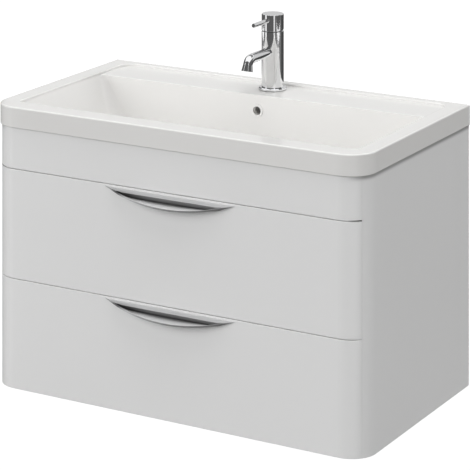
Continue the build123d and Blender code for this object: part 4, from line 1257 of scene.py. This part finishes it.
@dataclass(frozen=True)
class Studio:
    """Floor, white surround, soft light and cards for the metal to mirror."""

    floor_z: float = -0.32
    floor_size: float = 80.0
    floor_grey: float = 0.20
    floor_glow: float = 0.88
    sky: float = 0.17
    tap_place: Point = (0.0, -0.056, 0.6)
    card_gap: float = 0.01
    card_size: float = 9.0
    lamps: Tuple[Lamp, ...] = (
        Lamp("top_lamp", towards=(0.20, 0.0, 0.98), spread_deg=44.0, strength=1.82),
        Lamp("front_lamp", towards=(-0.36, -0.87, 0.32), spread_deg=60.0, strength=2.05),
        Lamp("side_fill", towards=(0.97, 0.20, 0.035), spread_deg=16.0, strength=1.04),
        Lamp("back_fill", towards=(0.0, 0.85, 0.52), spread_deg=60.0, strength=0.45),
    )
    cards: Tuple[Card, ...] = (
        Card("back_flag", grey=0.06, width=3.2, low=-0.3, high=0.56, distance=1.2),
        Card("back_screen", grey=0.6, width=3.2, low=0.56, high=1.7, distance=1.2),
        Card("top_flag", grey=0.10, width=1.4, low=1.0, high=2.0, distance=0.6, lean_deg=60.0),
        Card("right_flag", grey=0.10, width=2.4, low=0.35, high=1.6, turn_deg=-90.0, distance=1.5),
        Card("left_flag", grey=0.10, width=2.4, low=0.35, high=1.6, turn_deg=90.0, distance=1.5),
        Card("front_flag", grey=0.10, width=4.0, low=-0.3, high=2.6, turn_deg=180.0, distance=1.8),
        Card("left_panel", grey=1.0, width=0.35, low=-0.3, high=1.2, turn_deg=135.0, distance=1.3),
        Card("right_panel", grey=1.0, width=0.2, low=-0.3, high=1.2, turn_deg=224.0, distance=1.3),
    )

    def build(self) -> None:
        """Set up the whole studio."""
        bpy.context.scene.view_settings.view_transform = "Standard"
        self._floor()
        self._sky()
        for lamp in self.lamps:
            lamp.build()
        level, half = self.floor_z + self.card_gap, self.card_size / 2
        floor_card = Card("floor_card", grey=0.17, width=self.card_size, low=level - half, high=level + half,
                          lean_deg=90.0)
        for card in (floor_card, *self.cards):
            card.build(self.tap_place)

    @staticmethod
    def _seen(graph: Graph) -> Socket:
        """Tell the rays that look at the surround from the ones that light the cabinet.

        Args:
            graph: the tree to work in.

        Returns:
            A socket that is one where the surround is looked at, straight, in metal or through glass.
        """
        path = graph.add("ShaderNodeLightPath")
        total = path.outputs["Is Camera Ray"]
        for name in ("Is Glossy Ray", "Is Transmission Ray"):
            total = graph.sum("MAXIMUM", total, path.outputs[name])
        return total

    def _floor(self) -> None:
        """Lay the pale floor well below the hung cabinet."""
        place = Matrix.Translation((0.0, 0.0, self.floor_z))
        _, graph = lay_plane("floor", self.floor_size, self.floor_size, place)
        matt = graph.add("ShaderNodeBsdfDiffuse")
        matt.inputs["Color"].default_value = (self.floor_grey,) * 3 + (1.0,)
        glow = graph.add("ShaderNodeEmission")
        graph.join(graph.sum("MULTIPLY", self._seen(graph), self.floor_glow), glow.inputs["Strength"])
        both = graph.add("ShaderNodeAddShader")
        graph.join(matt.outputs["BSDF"], both.inputs[0])
        graph.join(glow.outputs["Emission"], both.inputs[1])
        graph.surface(both.outputs["Shader"])

    def _sky(self) -> None:
        """Surround the cabinet with soft white light."""
        world = bpy.data.worlds.new("surround")
        world.use_nodes = True
        graph = Graph(world.node_tree)
        strength = graph.add("ShaderNodeMapRange")
        strength.inputs["To Min"].default_value = self.sky
        strength.inputs["To Max"].default_value = 1.0
        graph.join(self._seen(graph), strength.inputs["Value"])
        light = graph.add("ShaderNodeBackground")
        light.inputs["Color"].default_value = (1.0, 1.0, 1.0, 1.0)
        graph.join(strength.outputs["Result"], light.inputs["Strength"])
        graph.surface(light.outputs["Background"], "ShaderNodeOutputWorld")
        bpy.context.scene.world = world


def main() -> None:
    """Dress the cabinet, build its small pieces and set up the studio."""
    logging.basicConfig(level=logging.INFO, format="%(name)s: %(message)s")
    wardrobe = Wardrobe()
    assemblies: List[Assembly] = [Carcass(), Hanging(), Runners(), *map(Drawer, LEVELS), Basin(), Tap()]
    for assembly in assemblies:
        assembly.dress(wardrobe)
        assembly.build(wardrobe)
    Studio().build()
    ViewCamera().build()


if __name__ == "__main__":
    main()
